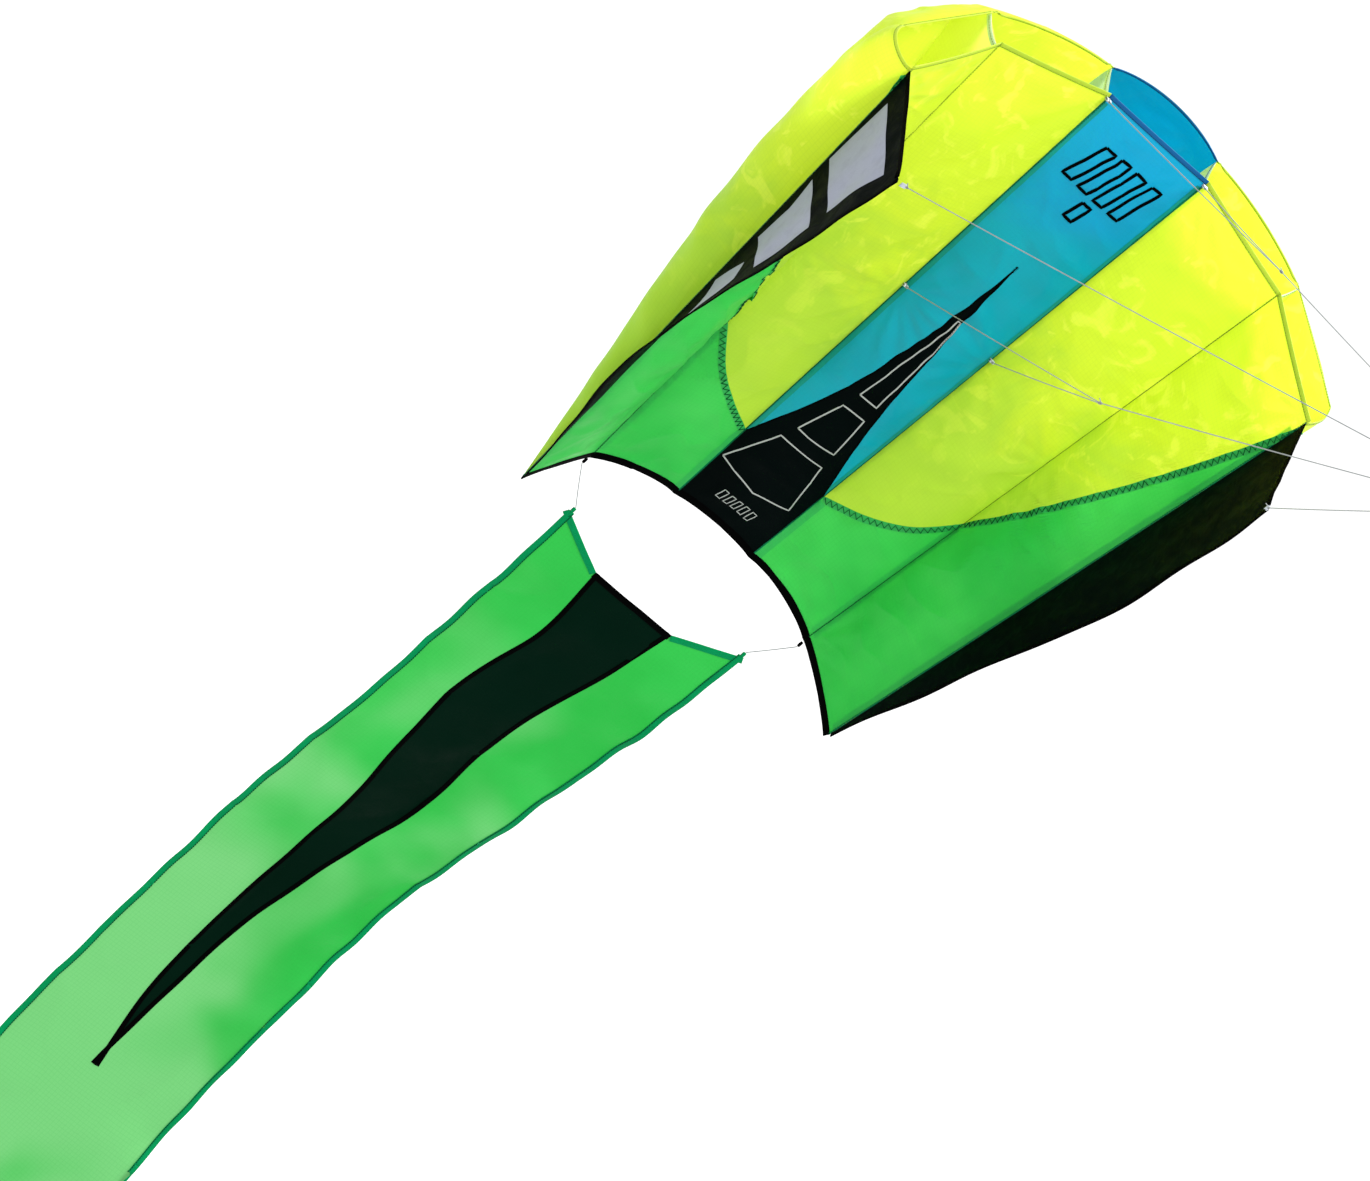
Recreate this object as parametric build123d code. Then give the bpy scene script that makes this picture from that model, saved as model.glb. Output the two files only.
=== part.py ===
from build123d import *
from math import cos, pi, radians, sin
import os

# A frameless parafoil kite with five ram-air cells, two keel fins, a bridle and a streamer tail.
#
# Millimetres. The origin is the centre of the tow ring. +X runs along the span, +Y from the flyer's side
# of the kite through to its top skin, and +Z from the trailing edge to the leading edge. The tail hangs
# straight down behind the trailing edge.

# ---- Driving dimensions -------------------------------------------------------------------------

# The canopy is laid out from the middle of its lower leading edge, and hangs from the tow ring.
NOSE = Vector(0, 1390, -490)

# Ribs, from the middle of the kite out to each side: the lower corner of the nose, the lean of the rib
# from +Y towards its own side, the height of the air intake, and how much higher the rib swells.
RIB_CORNER = {"inner": (77.5, 0, 0), "middle": (221.5, -36, -28), "outer": (311, -162, -68.5)}
RIB_LEAN = {"inner": 7, "middle": 34, "outer": 25}
LIP_HEIGHT = {"inner": 46, "middle": 38, "outer": 57}
RIB_SWELL = {"inner": 32, "middle": 32, "outer": 54}

# Every chord line runs to one point behind the kite, which keeps the bottom panels flat.
CHORD_MEETING = Vector(0, 0, -3230)
CHORD_SHARE = 0.221
LIP_LEAD = 0.018
SWELL_SHAPE = 0.62
EDGE_GAP = 0.8
PROFILE_STATIONS = (0, 0.05, 0.12, 0.22, 0.35, 0.5, 0.68, 0.85, 1)
RIB_FRONT_CHORD = 0.004
RIB_LAST_STATION = 0.93

CLOTH = 1.0
CLEARANCE = 0.4

# Curved seam between the yellow and the green cloth, as (share of the way between ribs, share of chord).
SEAM_INNER = ((0, 0.84), (0.36, 0.795), (0.72, 0.735), (1, 0.66))
SEAM_OUTER = ((0, 0.66), (0.2, 0.58), (0.54, 0.4), (0.8, 0.207), (1, 0.012))
# The blocks that cut the skins along their seams are this thick, and reach this far past the ribs.
CUTTER_DEPTH = 8
CUTTER_MARGIN = 0.04

# Black rear panel in the middle: its right edge runs up to a spike, as (half width, below the nose).
SPIKE_EDGE = ((62.2, -600), (34, -502), (12, -368), (0, -220))
SPIKE_CUTTER_HALF = 90
SPIKE_CUTTER_REAR = -730

# Bindings and hems
BINDING_WIDTH = 10
BINDING_THICKNESS = 2.4
LIP_HEM = 6
LIP_HEM_THICKNESS = 2

# Keel fins, on the outer seams: (share of chord, depth below the seam)
FIN_LEAN = 8
FIN_TIP = (0.05, -184)
FIN_EDGE_MIDDLE = (0.43, -124)
FIN_HEEL = (0.995, -6)
FIN_BASE_DEPTH = -1.8
FIN_FRONT_CHORD = 0.004
FIN_BINDING = 7
# The slanting ends of the fin's free edge need more or less inset to keep its binding an even width.
FIN_INSET_TIP_DEPTH = 1.2
FIN_INSET_HEEL_DEPTH = 0.4
FIN_INSET_HEEL_CHORD = 2
FIN_INSET_BASE_CHORD = 3

# Bridle
LINE_RADIUS = 0.6
MIDDLE_LINE_CHORD = 0.467
NOSE_KNOT_SHARE = 0.39
MIDDLE_KNOT = Vector(0, -493, -78)
KNOT_RADIUS = 2
KNOT_LENGTH = 10
LINE_BITE = 1.5
LINE_SPREAD = 2
TAB = (7, 5, 8)
TAB_GAP = 1.5
TAB_REACH = 6
NOSE_TAB_CHORD = 0.003
BRIDLE_MIDDLE = Vector(0, 0, -170)
RING_BORE_RADIUS = 6
RING_OUTER_RADIUS = 9
RING_LENGTH = 4
TOW_KNOT_RADIUS = 4
TOW_KNOT_DISTANCE = 13.5

# Tail
TAIL_Y = -28
TAIL_FRONT_HALF = 140
TAIL_REAR_HALF = 128
TAIL_CORNER_Z = -811
TAIL_MIDDLE_Z = -850
TAIL_REAR_CORNER_Z = -1950
TAIL_END_Z = -2015
TAIL_BENDS_Z = (-1110, -1410, -1710)
TAIL_JOINT_GAP = 1.2
TAIL_CLOTH = 0.8
TAIL_HEM = 6
TAIL_HEM_THICKNESS = 1.6
TAIL_LINE_SLACK = 1.6
TAIL_TAB = (7, 3, 6)
TAIL_BAND_WIDTH = 560

# Wavy black flame in the tail, as (across, below the nose) down each side to its tip
FLAME_LEFT = ((-60, -850), (-50, -960), (-66, -1075), (-56, -1180), (-28, -1350), (-31, -1530),
              (-27, -1673), (-5, -1793))
FLAME_RIGHT = ((60, -850), (46, -978), (31, -1065), (31, -1150), (42, -1250), (31, -1370),
               (4, -1545), (-3, -1690), (-5, -1793))
FLAME_START_OVERLAP = 5

SIDES = {"left": -1, "right": 1}
os.makedirs("parts", exist_ok=True)


# ---- Helpers ------------------------------------------------------------------------------------

def save(name, solids):
    """Write one solid, or a group of separate solids, as one named piece."""
    group = list(solids) if isinstance(solids, (list, tuple)) else solids.solids()
    shape = group[0] if len(group) == 1 else Compound(children=group)
    export_step(shape, f"parts/{name}.step")


def rib_point(rib, side, chord, height, lean=None):
    """A point in a rib's plane: chord runs from 0 at the nose to 1 at the trailing edge."""
    x, y, z = RIB_CORNER[rib]
    corner = Vector(side * x, y, z)
    along = (CHORD_MEETING - corner) * CHORD_SHARE * chord
    angle = radians(RIB_LEAN[rib] if lean is None else lean)
    return NOSE + corner + along + Vector(side * sin(angle), cos(angle), 0) * height


def top_height(rib, station):
    """Height of the inside of the top skin above the bottom skin, at a station from 0 to 1."""
    lip = LIP_HEIGHT[rib] * (1 - station)
    swell = RIB_SWELL[rib] * sin(pi * station ** SWELL_SHAPE)
    return lip + swell + EDGE_GAP * station


def top_point(rib, side, station, lift=0.0):
    chord = station * (1 + LIP_LEAD) - LIP_LEAD
    return rib_point(rib, side, chord, top_height(rib, station) + lift)


def top_curve(rib, side, lift=0.0, stations=PROFILE_STATIONS):
    return Spline([top_point(rib, side, station, lift) for station in stations])


def closed_wire(*parts):
    """Join curves and points in order into one closed wire."""
    edges = []
    ends = [(p, p) if isinstance(p, Vector) else (p @ 0, p @ 1) for p in parts]
    for index, part in enumerate(parts):
        if not isinstance(part, Vector):
            edges.append(part)
        start, finish = ends[index][1], ends[(index + 1) % len(parts)][0]
        if (finish - start).length > 1e-6:
            edges.append(Line(start, finish))
    return Wire([edge for curve in edges for edge in curve.edges()])


def panel_between(first_wire, second_wire):
    return Solid.make_loft([first_wire, second_wire], ruled=True)


def plate(wire, thickness):
    """A flat plate of the outline, with its thickness shared between the two faces."""
    return extrude(Face(wire), amount=thickness / 2, both=True)


def strip_section(rib, side, chords, heights):
    """A four-cornered section in a rib's plane."""
    front, back = chords
    low, high = heights
    corners = [(front, low), (back, low), (back, high), (front, high)]
    return closed_wire(*[rib_point(rib, side, chord, height) for chord, height in corners])


def between_all_ribs(section):
    """Run a section across the whole span, one stretch from each rib to the next."""
    stations = [(rib, -1) for rib in ("outer", "middle", "inner")]
    stations += [(rib, 1) for rib in ("inner", "middle", "outer")]
    wires = [section(rib, side) for rib, side in stations]
    return [panel_between(a, b) for a, b in zip(wires, wires[1:])]


# ---- Bottom skin --------------------------------------------------------------------------------

def bottom_section(rib, side):
    return strip_section(rib, side, (0, 1), (-CLOTH, 0))


def bottom_point(first_rib, second_rib, side, across, chord):
    start = rib_point(first_rib, side, chord, 0)
    return start + (rib_point(second_rib, side, chord, 0) - start) * across


def green_region(first_rib, second_rib, side, seam):
    """A block that holds the part of a bottom panel behind the curved seam."""
    def point(across, chord):
        return bottom_point(first_rib, second_rib, side, across, chord)

    curve = Spline([point(across, chord) for across, chord in seam])
    first_chord, last_chord = seam[0][1], seam[-1][1]
    before, beyond = -CUTTER_MARGIN, 1 + CUTTER_MARGIN
    outline = closed_wire(point(before, first_chord), curve, point(beyond, last_chord),
                          point(beyond, beyond), point(before, beyond))
    return plate(outline, CUTTER_DEPTH)


def make_side_bottom_panels(first_rib, second_rib, name, seam):
    for word, side in SIDES.items():
        skin = panel_between(bottom_section(first_rib, side), bottom_section(second_rib, side))
        green = green_region(first_rib, second_rib, side, seam)
        save(f"bottom_{name}_panel_{word}", skin - green)
        save(f"bottom_{name}_rear_panel_{word}", skin & green)


def make_middle_bottom_panels():
    skin = panel_between(bottom_section("inner", -1), bottom_section("inner", 1))
    right = [NOSE + Vector(x, 0, z) for x, z in SPIKE_EDGE]
    left = [NOSE + Vector(-x, 0, z) for x, z in reversed(SPIKE_EDGE)]
    half, corner_z = SPIKE_CUTTER_HALF, SPIKE_EDGE[0][1]
    outline = closed_wire(Spline(right), Spline(left), NOSE + Vector(-half, 0, corner_z),
                          NOSE + Vector(-half, 0, SPIKE_CUTTER_REAR),
                          NOSE + Vector(half, 0, SPIKE_CUTTER_REAR), NOSE + Vector(half, 0, corner_z))
    spike = plate(outline, CUTTER_DEPTH)
    save("bottom_middle_panel", skin - spike)
    save("bottom_spike_panel", skin & spike)


# ---- Top skin, ribs and side walls --------------------------------------------------------------

def top_section(rib, side):
    return closed_wire(top_curve(rib, side), top_curve(rib, side, CLOTH, PROFILE_STATIONS[::-1]))


def make_top_panels():
    save("top_middle_panel", panel_between(top_section("inner", -1), top_section("inner", 1)))
    for name, first_rib, second_rib in (("inner", "inner", "middle"), ("outer", "middle", "outer")):
        for word, side in SIDES.items():
            skin = panel_between(top_section(first_rib, side), top_section(second_rib, side))
            save(f"top_{name}_panel_{word}", skin)


def make_ribs():
    stations = [s for s in PROFILE_STATIONS if s < RIB_LAST_STATION] + [RIB_LAST_STATION]
    for rib in ("inner", "middle"):
        for word, side in SIDES.items():
            top = top_curve(rib, side, -CLEARANCE, stations)
            front = rib_point(rib, side, RIB_FRONT_CHORD, CLEARANCE)
            back = rib_point(rib, side, RIB_LAST_STATION, CLEARANCE)
            save(f"rib_{rib}_{word}", plate(closed_wire(front, top, back), CLOTH))


def make_side_walls():
    for word, side in SIDES.items():
        outline = closed_wire(rib_point("outer", side, 0, -CLOTH), top_curve("outer", side, CLOTH),
                              rib_point("outer", side, 1, -CLOTH))
        face = Face(outline)
        outward = face.normal_at() * (1 if face.normal_at().X * side > 0 else -1)
        save(f"side_wall_{word}", extrude(face, amount=CLOTH, dir=outward))


# ---- Edges --------------------------------------------------------------------------------------

def chord_length():
    return (CHORD_MEETING - Vector(*RIB_CORNER["inner"])).length * CHORD_SHARE


def make_edge_strips():
    width = BINDING_WIDTH / chord_length()
    half = BINDING_THICKNESS / 2
    save("trailing_edge_binding", between_all_ribs(
        lambda rib, side: strip_section(rib, side, (1, 1 + width), (-half, half + EDGE_GAP))))
    hem = LIP_HEM / chord_length()
    low = -CLOTH / 2 - LIP_HEM_THICKNESS / 2
    save("lower_lip_hem", between_all_ribs(
        lambda rib, side: strip_section(rib, side, (-hem, 0), (low, low + LIP_HEM_THICKNESS))))
    save("upper_lip_hem", between_all_ribs(
        lambda rib, side: strip_section(
            rib, side, (-LIP_LEAD - hem, -LIP_LEAD),
            (LIP_HEIGHT[rib] - CLOTH / 2, LIP_HEIGHT[rib] - CLOTH / 2 + LIP_HEM_THICKNESS))))


# ---- Keel fins ----------------------------------------------------------------------------------

def fin_point(side, chord, depth):
    return rib_point("outer", side, chord, depth, FIN_LEAN)


def fin_outline(side, inset):
    """The fin's outline, drawn in from its two free edges by inset millimetres."""
    share = inset / chord_length()
    tip_chord, tip_depth = FIN_TIP
    middle_chord, middle_depth = FIN_EDGE_MIDDLE
    heel_chord, heel_depth = FIN_HEEL
    tip = fin_point(side, tip_chord + share, tip_depth + FIN_INSET_TIP_DEPTH * inset)
    middle = fin_point(side, middle_chord, middle_depth + inset)
    heel = fin_point(side, heel_chord - FIN_INSET_HEEL_CHORD * share,
                     heel_depth + FIN_INSET_HEEL_DEPTH * inset)
    return closed_wire(fin_point(side, FIN_FRONT_CHORD + share, FIN_BASE_DEPTH),
                       ThreePointArc(tip, middle, heel),
                       fin_point(side, heel_chord - FIN_INSET_BASE_CHORD * share, FIN_BASE_DEPTH))


def make_fins():
    for word, side in SIDES.items():
        inner = fin_outline(side, FIN_BINDING)
        save(f"fin_{word}", plate(inner, CLOTH))
        binding = plate(fin_outline(side, 0), BINDING_THICKNESS) - plate(inner, 2 * BINDING_THICKNESS)
        save(f"fin_binding_{word}", binding)


# ---- Bridle -------------------------------------------------------------------------------------

def line_between(start, finish):
    """A taut line as a straight round bar."""
    way = finish - start
    plane = Plane(origin=start, z_dir=way.normalized())
    return extrude(plane * Circle(LINE_RADIUS), amount=way.length)


def tab_at(point, size):
    return Pos(point) * Box(*size)


def towards(start, finish, distance):
    return start + (finish - start).normalized() * distance


def make_knot(centre, towards_ring):
    """A short fat knot along the main line."""
    axis = (towards_ring - centre).normalized()
    plane = Plane(origin=centre - axis * KNOT_LENGTH / 2, z_dir=axis)
    barrel = extrude(plane * Circle(KNOT_RADIUS), amount=KNOT_LENGTH)
    return fillet(barrel.edges().filter_by(GeomType.CIRCLE), KNOT_RADIUS / 2)


def make_forked_bridle(name, knot, anchors, ring_end):
    """Two lines from the canopy that join in a knot, and one main line from there to the ring."""
    for word, side in SIDES.items():
        anchor = anchors[word]
        entry = knot + Vector(side * 1.5 * LINE_RADIUS, 0, 0)
        entry = towards(entry, anchor, KNOT_LENGTH / 2 - LINE_BITE)
        save(f"bridle_{name}_line_{word}", line_between(anchor, entry))
    start = towards(knot, ring_end, KNOT_LENGTH / 2 - LINE_BITE)
    save(f"bridle_{name}_main", line_between(start, ring_end))


def make_bridle():
    pull = (NOSE + BRIDLE_MIDDLE).normalized()
    tow_knot = pull * TOW_KNOT_DISTANCE
    beside = Vector(0, -pull.Z, pull.Y) * LINE_SPREAD
    nose_knot = NOSE * (1 - NOSE_KNOT_SHARE)
    middle_knot = NOSE + MIDDLE_KNOT
    below = Vector(0, -CLOTH - TAB_GAP - TAB[1] / 2, 0)
    tabs = []
    anchors = {"nose": {}, "middle": {}}
    for word, side in SIDES.items():
        nose_tab = rib_point("inner", side, NOSE_TAB_CHORD, 0) + below
        middle_tab = rib_point("inner", side, MIDDLE_LINE_CHORD, 0) + below
        fin_tab = towards(fin_point(side, *FIN_TIP), tow_knot, TAB[2] / 2 + TAB_GAP)
        tabs += [tab_at(point, TAB) for point in (nose_tab, middle_tab, fin_tab)]
        anchors["nose"][word] = towards(nose_tab, nose_knot, TAB_REACH)
        anchors["middle"][word] = towards(middle_tab, middle_knot, TAB_REACH)
        fin_end = tow_knot + Vector(side * LINE_SPREAD, 0, 0)
        save(f"bridle_fin_line_{word}", line_between(towards(fin_tab, fin_end, TAB_REACH), fin_end))
    make_forked_bridle("nose", nose_knot, anchors["nose"], tow_knot + beside)
    make_forked_bridle("middle", middle_knot, anchors["middle"], tow_knot - beside)
    save("bridle_tabs", tabs)
    save("bridle_knots", [make_knot(knot, tow_knot) for knot in (nose_knot, middle_knot)])
    save("tow_knot", Pos(tow_knot) * Sphere(TOW_KNOT_RADIUS))


def make_tow_ring():
    outside = Rot(0, 90, 0) * Cylinder(RING_OUTER_RADIUS, RING_LENGTH)
    outside = fillet(outside.edges().filter_by(GeomType.CIRCLE), RING_LENGTH / 4)
    save("tow_ring", outside - Rot(0, 90, 0) * Cylinder(RING_BORE_RADIUS, 2 * RING_LENGTH))


# ---- Tail ---------------------------------------------------------------------------------------

TAIL_PLANE = Plane(origin=NOSE + Vector(0, TAIL_Y, 0), x_dir=(1, 0, 0), z_dir=(0, -1, 0))


def tail_hinge_z():
    """Height of the tail tabs' lower end, where the tail lines swing."""
    x, y, z = RIB_CORNER["middle"]
    back = z + (CHORD_MEETING.Z - z) * CHORD_SHARE
    return back - BINDING_WIDTH - TAB_GAP - TAIL_TAB[2]


def make_tail_lines():
    x, y, z = RIB_CORNER["middle"]
    anchor_x = x * (1 - CHORD_SHARE)
    corner_x = TAIL_FRONT_HALF - TAIL_TAB[0] / 2
    top_z = tail_hinge_z()
    low_z = TAIL_CORNER_Z + TAIL_TAB[2]
    anchor_tabs = []
    corner_tabs = []
    for word, side in SIDES.items():
        start = NOSE + Vector(side * anchor_x, TAIL_Y, top_z - TAIL_LINE_SLACK)
        finish = NOSE + Vector(side * corner_x, TAIL_Y, low_z + TAIL_LINE_SLACK)
        save(f"tail_line_{word}", line_between(start, finish))
        half = TAIL_TAB[2] / 2
        anchor_tabs.append(tab_at(NOSE + Vector(side * anchor_x, TAIL_Y, top_z + half), TAIL_TAB))
        corner_tabs.append(tab_at(NOSE + Vector(side * corner_x, TAIL_Y, low_z - half), TAIL_TAB))
    save("tail_tabs", anchor_tabs)
    save("tail_corner_tabs", corner_tabs)


def tail_outline(inset=0.0):
    """The tail's outline: a nicked front edge, sides that narrow a little, and a blunt point behind."""
    inner = RIB_CORNER["inner"][0] * (1 - CHORD_SHARE)
    right = [(inner, TAIL_MIDDLE_Z), (TAIL_FRONT_HALF, TAIL_CORNER_Z),
             (TAIL_REAR_HALF, TAIL_REAR_CORNER_Z)]
    left = [(-x, z) for x, z in reversed(right)]
    outline = make_face(Polyline(*right, (0, TAIL_END_Z), *left, close=True))
    return offset(outline, amount=-inset, kind=Kind.INTERSECTION) if inset else outline


def flame_region():
    left_start, right_start = FLAME_LEFT[0], FLAME_RIGHT[0]
    above = TAIL_MIDDLE_Z + FLAME_START_OVERLAP
    left_top, right_top = (left_start[0], above), (right_start[0], above)
    return make_face([Spline(*FLAME_RIGHT), Spline(*reversed(FLAME_LEFT)), Line(left_start, left_top),
                      Line(left_top, right_top), Line(right_top, right_start)])


def tail_band(top_z, low_z):
    """A wide rectangle that holds one stretch of the tail."""
    return Pos(0, (top_z + low_z) / 2) * Rectangle(TAIL_BAND_WIDTH, top_z - low_z)


def thicken(sketch, thickness):
    """Flat tail pieces as solids, biggest first."""
    solids = extrude(TAIL_PLANE * sketch, amount=thickness / 2, both=True).solids()
    return sorted(solids, key=lambda solid: -solid.volume)


def by_side(solids):
    return sorted(solids, key=lambda solid: solid.center().X)


def make_tail():
    flame = tail_outline() & flame_region()
    inside = tail_outline(TAIL_HEM)
    green = inside - flame_region()
    hem = tail_outline() - inside - flame_region()
    edges = (0, *TAIL_BENDS_Z, 2 * TAIL_END_Z)
    half_gap = TAIL_JOINT_GAP / 2
    for name, top, low in zip(("head", "front", "rear", "tip"), edges, edges[1:]):
        band = tail_band(top - half_gap, low + half_gap)
        save(f"tail_{name}_flame", thicken(flame & band, TAIL_CLOTH))
        pieces = by_side(thicken(green & band, TAIL_CLOTH))
        if name == "tip":
            save("tail_tip_panel", pieces)
        else:
            for word, piece in zip(SIDES, pieces):
                save(f"tail_{name}_panel_{word}", piece)
        save(f"tail_{name}_hems", thicken(hem & band, TAIL_HEM_THICKNESS))


make_middle_bottom_panels()
make_side_bottom_panels("inner", "middle", "inner", SEAM_INNER)
make_side_bottom_panels("middle", "outer", "outer", SEAM_OUTER)
make_top_panels()
make_ribs()
make_side_walls()
make_edge_strips()
make_fins()
make_bridle()
make_tow_ring()
make_tail_lines()
make_tail()
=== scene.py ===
from math import cos, pi, radians, sin

import bmesh
import bpy
import numpy as np
from mathutils import Matrix, Vector


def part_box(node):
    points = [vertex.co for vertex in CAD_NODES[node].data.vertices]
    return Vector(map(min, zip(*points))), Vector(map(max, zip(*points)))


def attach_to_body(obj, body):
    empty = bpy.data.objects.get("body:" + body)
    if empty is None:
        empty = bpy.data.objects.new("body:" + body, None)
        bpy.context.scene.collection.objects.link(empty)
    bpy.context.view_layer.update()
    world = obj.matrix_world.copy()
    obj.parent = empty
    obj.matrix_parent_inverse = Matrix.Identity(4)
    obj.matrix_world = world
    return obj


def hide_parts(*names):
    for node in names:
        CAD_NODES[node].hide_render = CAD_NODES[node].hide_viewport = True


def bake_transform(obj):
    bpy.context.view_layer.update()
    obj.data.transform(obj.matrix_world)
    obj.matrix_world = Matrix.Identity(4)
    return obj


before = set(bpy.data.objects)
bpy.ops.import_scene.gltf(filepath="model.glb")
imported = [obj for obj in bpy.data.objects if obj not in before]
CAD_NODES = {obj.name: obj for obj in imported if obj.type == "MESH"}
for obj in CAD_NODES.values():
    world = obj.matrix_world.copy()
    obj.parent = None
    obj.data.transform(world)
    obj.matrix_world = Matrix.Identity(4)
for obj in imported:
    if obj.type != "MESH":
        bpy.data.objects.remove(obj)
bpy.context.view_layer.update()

# Looks for a parafoil kite: rippling cloth skins, bindings, stitching, bridle and streamer tail.
# Metres, in the CAD frame. The kite flies with its nose up (+Z), its bottom skin towards the flyer (-Y).

MM = 0.001

# ---- Driving dimensions, shared with the CAD frame ----------------------------------------------

CHORD_SHARE = 0.221
CHORD_MEETING = np.array((0, 0, -3.230))
RIB_LEAN = {"inner": 7, "middle": 34, "outer": 25}
LIP_HEIGHT = {"inner": 46 * MM, "middle": 38 * MM, "outer": 57 * MM}
RIB_SWELL = {"inner": 32 * MM, "middle": 32 * MM, "outer": 54 * MM}
LIP_LEAD = 0.018
SWELL_SHAPE = 0.62
EDGE_GAP = 0.8 * MM
CLOTH = 1.0 * MM

SEAM_INNER = ((0, 0.84), (0.36, 0.795), (0.72, 0.735), (1, 0.66))
SEAM_OUTER = ((0, 0.66), (0.2, 0.58), (0.54, 0.4), (0.8, 0.207), (1, 0.012))
SPIKE_HALF = ((-0.600, 0.0622), (-0.502, 0.034), (-0.368, 0.012), (-0.220, 0))

FIN_LEAN = 8
FIN_EDGE = ((0.05, -0.184), (0.43, -0.124), (0.995, -0.006))

LINE_DIAMETER = 1.2 * MM

TAIL_Y = -0.028
TAIL_FRONT_HALF = 0.140
TAIL_REAR_HALF = 0.128
TAIL_CORNER_Z = -0.811
TAIL_MIDDLE_Z = -0.850
TAIL_REAR_CORNER_Z = -1.950
TAIL_END_Z = -2.015
FLAME_LEFT = ((-1.793, -0.005), (-1.673, -0.027), (-1.530, -0.031), (-1.350, -0.028),
              (-1.180, -0.056), (-1.075, -0.066), (-0.960, -0.050), (-0.850, -0.060))
FLAME_RIGHT = ((-1.793, -0.005), (-1.690, -0.003), (-1.545, 0.004), (-1.370, 0.031),
               (-1.250, 0.042), (-1.150, 0.031), (-1.065, 0.031), (-0.978, 0.046), (-0.850, 0.060))

# ---- Dimensions of the cloth itself -------------------------------------------------------------

BOTTOM_BILLOW = {"middle": 24 * MM, "inner": 21 * MM, "outer": 20 * MM}
TOP_BILLOW = {"middle": 23 * MM, "inner": 18 * MM, "outer": 22 * MM}
TOP_LIP_SHARE = {"middle": 0.75, "inner": 0.45, "outer": 0.0}
TOP_FULL_STATION = 0.16
CELL_CURL = {("middle", 1): 0, ("inner", -1): 21 * MM, ("inner", 1): 4 * MM, ("outer", -1): 19 * MM,
             ("outer", 1): 12 * MM}
RIB_CURL = {("middle", -1): 23 * MM, ("middle", 1): 4 * MM, ("outer", -1): 2 * MM}
CURL_STATION = 0.045
WALL_BILLOW = {-1: 30 * MM, 1: 9 * MM}
LIP_BOW = 0.10
TRAILING_HOLLOW = {"middle": 6 * MM, "inner": 9 * MM, "outer": 4 * MM}
HEM_WIDTH = 6 * MM
UPPER_HEM_WIDTH = 3 * MM
BINDING_WIDTH = 10 * MM

# How far the tail ripples away from the flyer and how much it twists, by height below the nose.
TAIL_RIPPLE = ((-2.015, -0.060), (-1.870, -0.027), (-1.790, 0.005), (-1.650, 0.032),
               (-1.500, 0.058), (-1.415, 0.066), (-1.300, 0.053), (-1.150, 0.027),
               (-1.000, 0.011), (-0.855, 0.0), (-0.811, 0.0))
TAIL_TWIST = ((-2.015, 0), (-1.850, 4), (-1.744, 8), (-1.549, 11), (-1.415, 13), (-1.351, 12),
              (-1.109, 8), (-0.950, 3), (-0.811, 0))
# How far each fin flares out from its flat shape, in degrees, by chord.
FIN_FLARE = {
    -1: ((0, 0), (0.05, 1.5), (0.17, 5), (0.30, 9), (0.42, 14.5), (0.53, 21.5), (0.62, 27), (0.75, 32),
         (0.85, 29), (0.95, 16), (1, 8)),
    1: ((0, 0), (0.05, 1), (0.17, 4.5), (0.30, 7.5), (0.42, 9.5), (0.6, 8), (0.8, 8.5), (1, 8)),
}


def corner_of(node):
    """The corner of a node that lies furthest to the right."""
    vertices = [v.co for v in CAD_NODES[node].data.vertices]
    return np.array(max(vertices, key=lambda co: (round(co.x, 6), co.z)))


_, panel_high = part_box("bottom_middle_panel")
NOSE = np.array((0, panel_high.y, panel_high.z))
RIB_CORNER = {
    "inner": corner_of("bottom_middle_panel") - NOSE,
    "middle": corner_of("bottom_inner_panel_right") - NOSE,
    "outer": corner_of("bottom_outer_panel_right") - NOSE,
}
CELL_RIBS = {"middle": ("inner", "inner"), "inner": ("inner", "middle"), "outer": ("middle", "outer")}
SIDES = {"left": -1, "right": 1}
CHORD_LENGTH = -CHORD_MEETING[2] * CHORD_SHARE

# ---- Camera, at the photograph's viewing angle --------------------------------------------------

CAMERA_AZIMUTH = -20.7
CAMERA_ELEVATION = 24.4
CAMERA_ROLL = 49.3
CAMERA_DISTANCE = 9.0
CAMERA_ASIDE = (-0.2873, -0.2955)
CAMERA_DROP = -0.350
SENSOR_WIDTH = 36
FRAME_WIDTH = 1370
FOCAL_PIXELS = 7910


def make_camera():
    azimuth, elevation, roll = (radians(a) for a in (CAMERA_AZIMUTH, CAMERA_ELEVATION, CAMERA_ROLL))
    back = Vector((sin(azimuth) * cos(elevation), -cos(azimuth) * cos(elevation), sin(elevation)))
    level = Vector((cos(azimuth), sin(azimuth), 0))
    upright = back.cross(level)
    right = level * cos(roll) + upright * sin(roll)
    up = upright * cos(roll) - level * sin(roll)
    aim = Vector(NOSE) + Vector((0, 0, CAMERA_DROP)) + right * CAMERA_ASIDE[0] + up * CAMERA_ASIDE[1]
    data = bpy.data.cameras.new("camera")
    data.sensor_width = SENSOR_WIDTH
    data.lens = SENSOR_WIDTH * FOCAL_PIXELS / FRAME_WIDTH
    data.clip_end = 200
    camera = bpy.data.objects.new("camera", data)
    place = Matrix((right, up, back)).transposed().to_4x4()
    place.translation = aim + back * CAMERA_DISTANCE
    camera.matrix_world = place
    bpy.context.scene.collection.objects.link(camera)
    bpy.context.scene.camera = camera


make_camera()

# ---- Materials ----------------------------------------------------------------------------------

RIPSTOP_PITCH = 5 * MM


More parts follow.
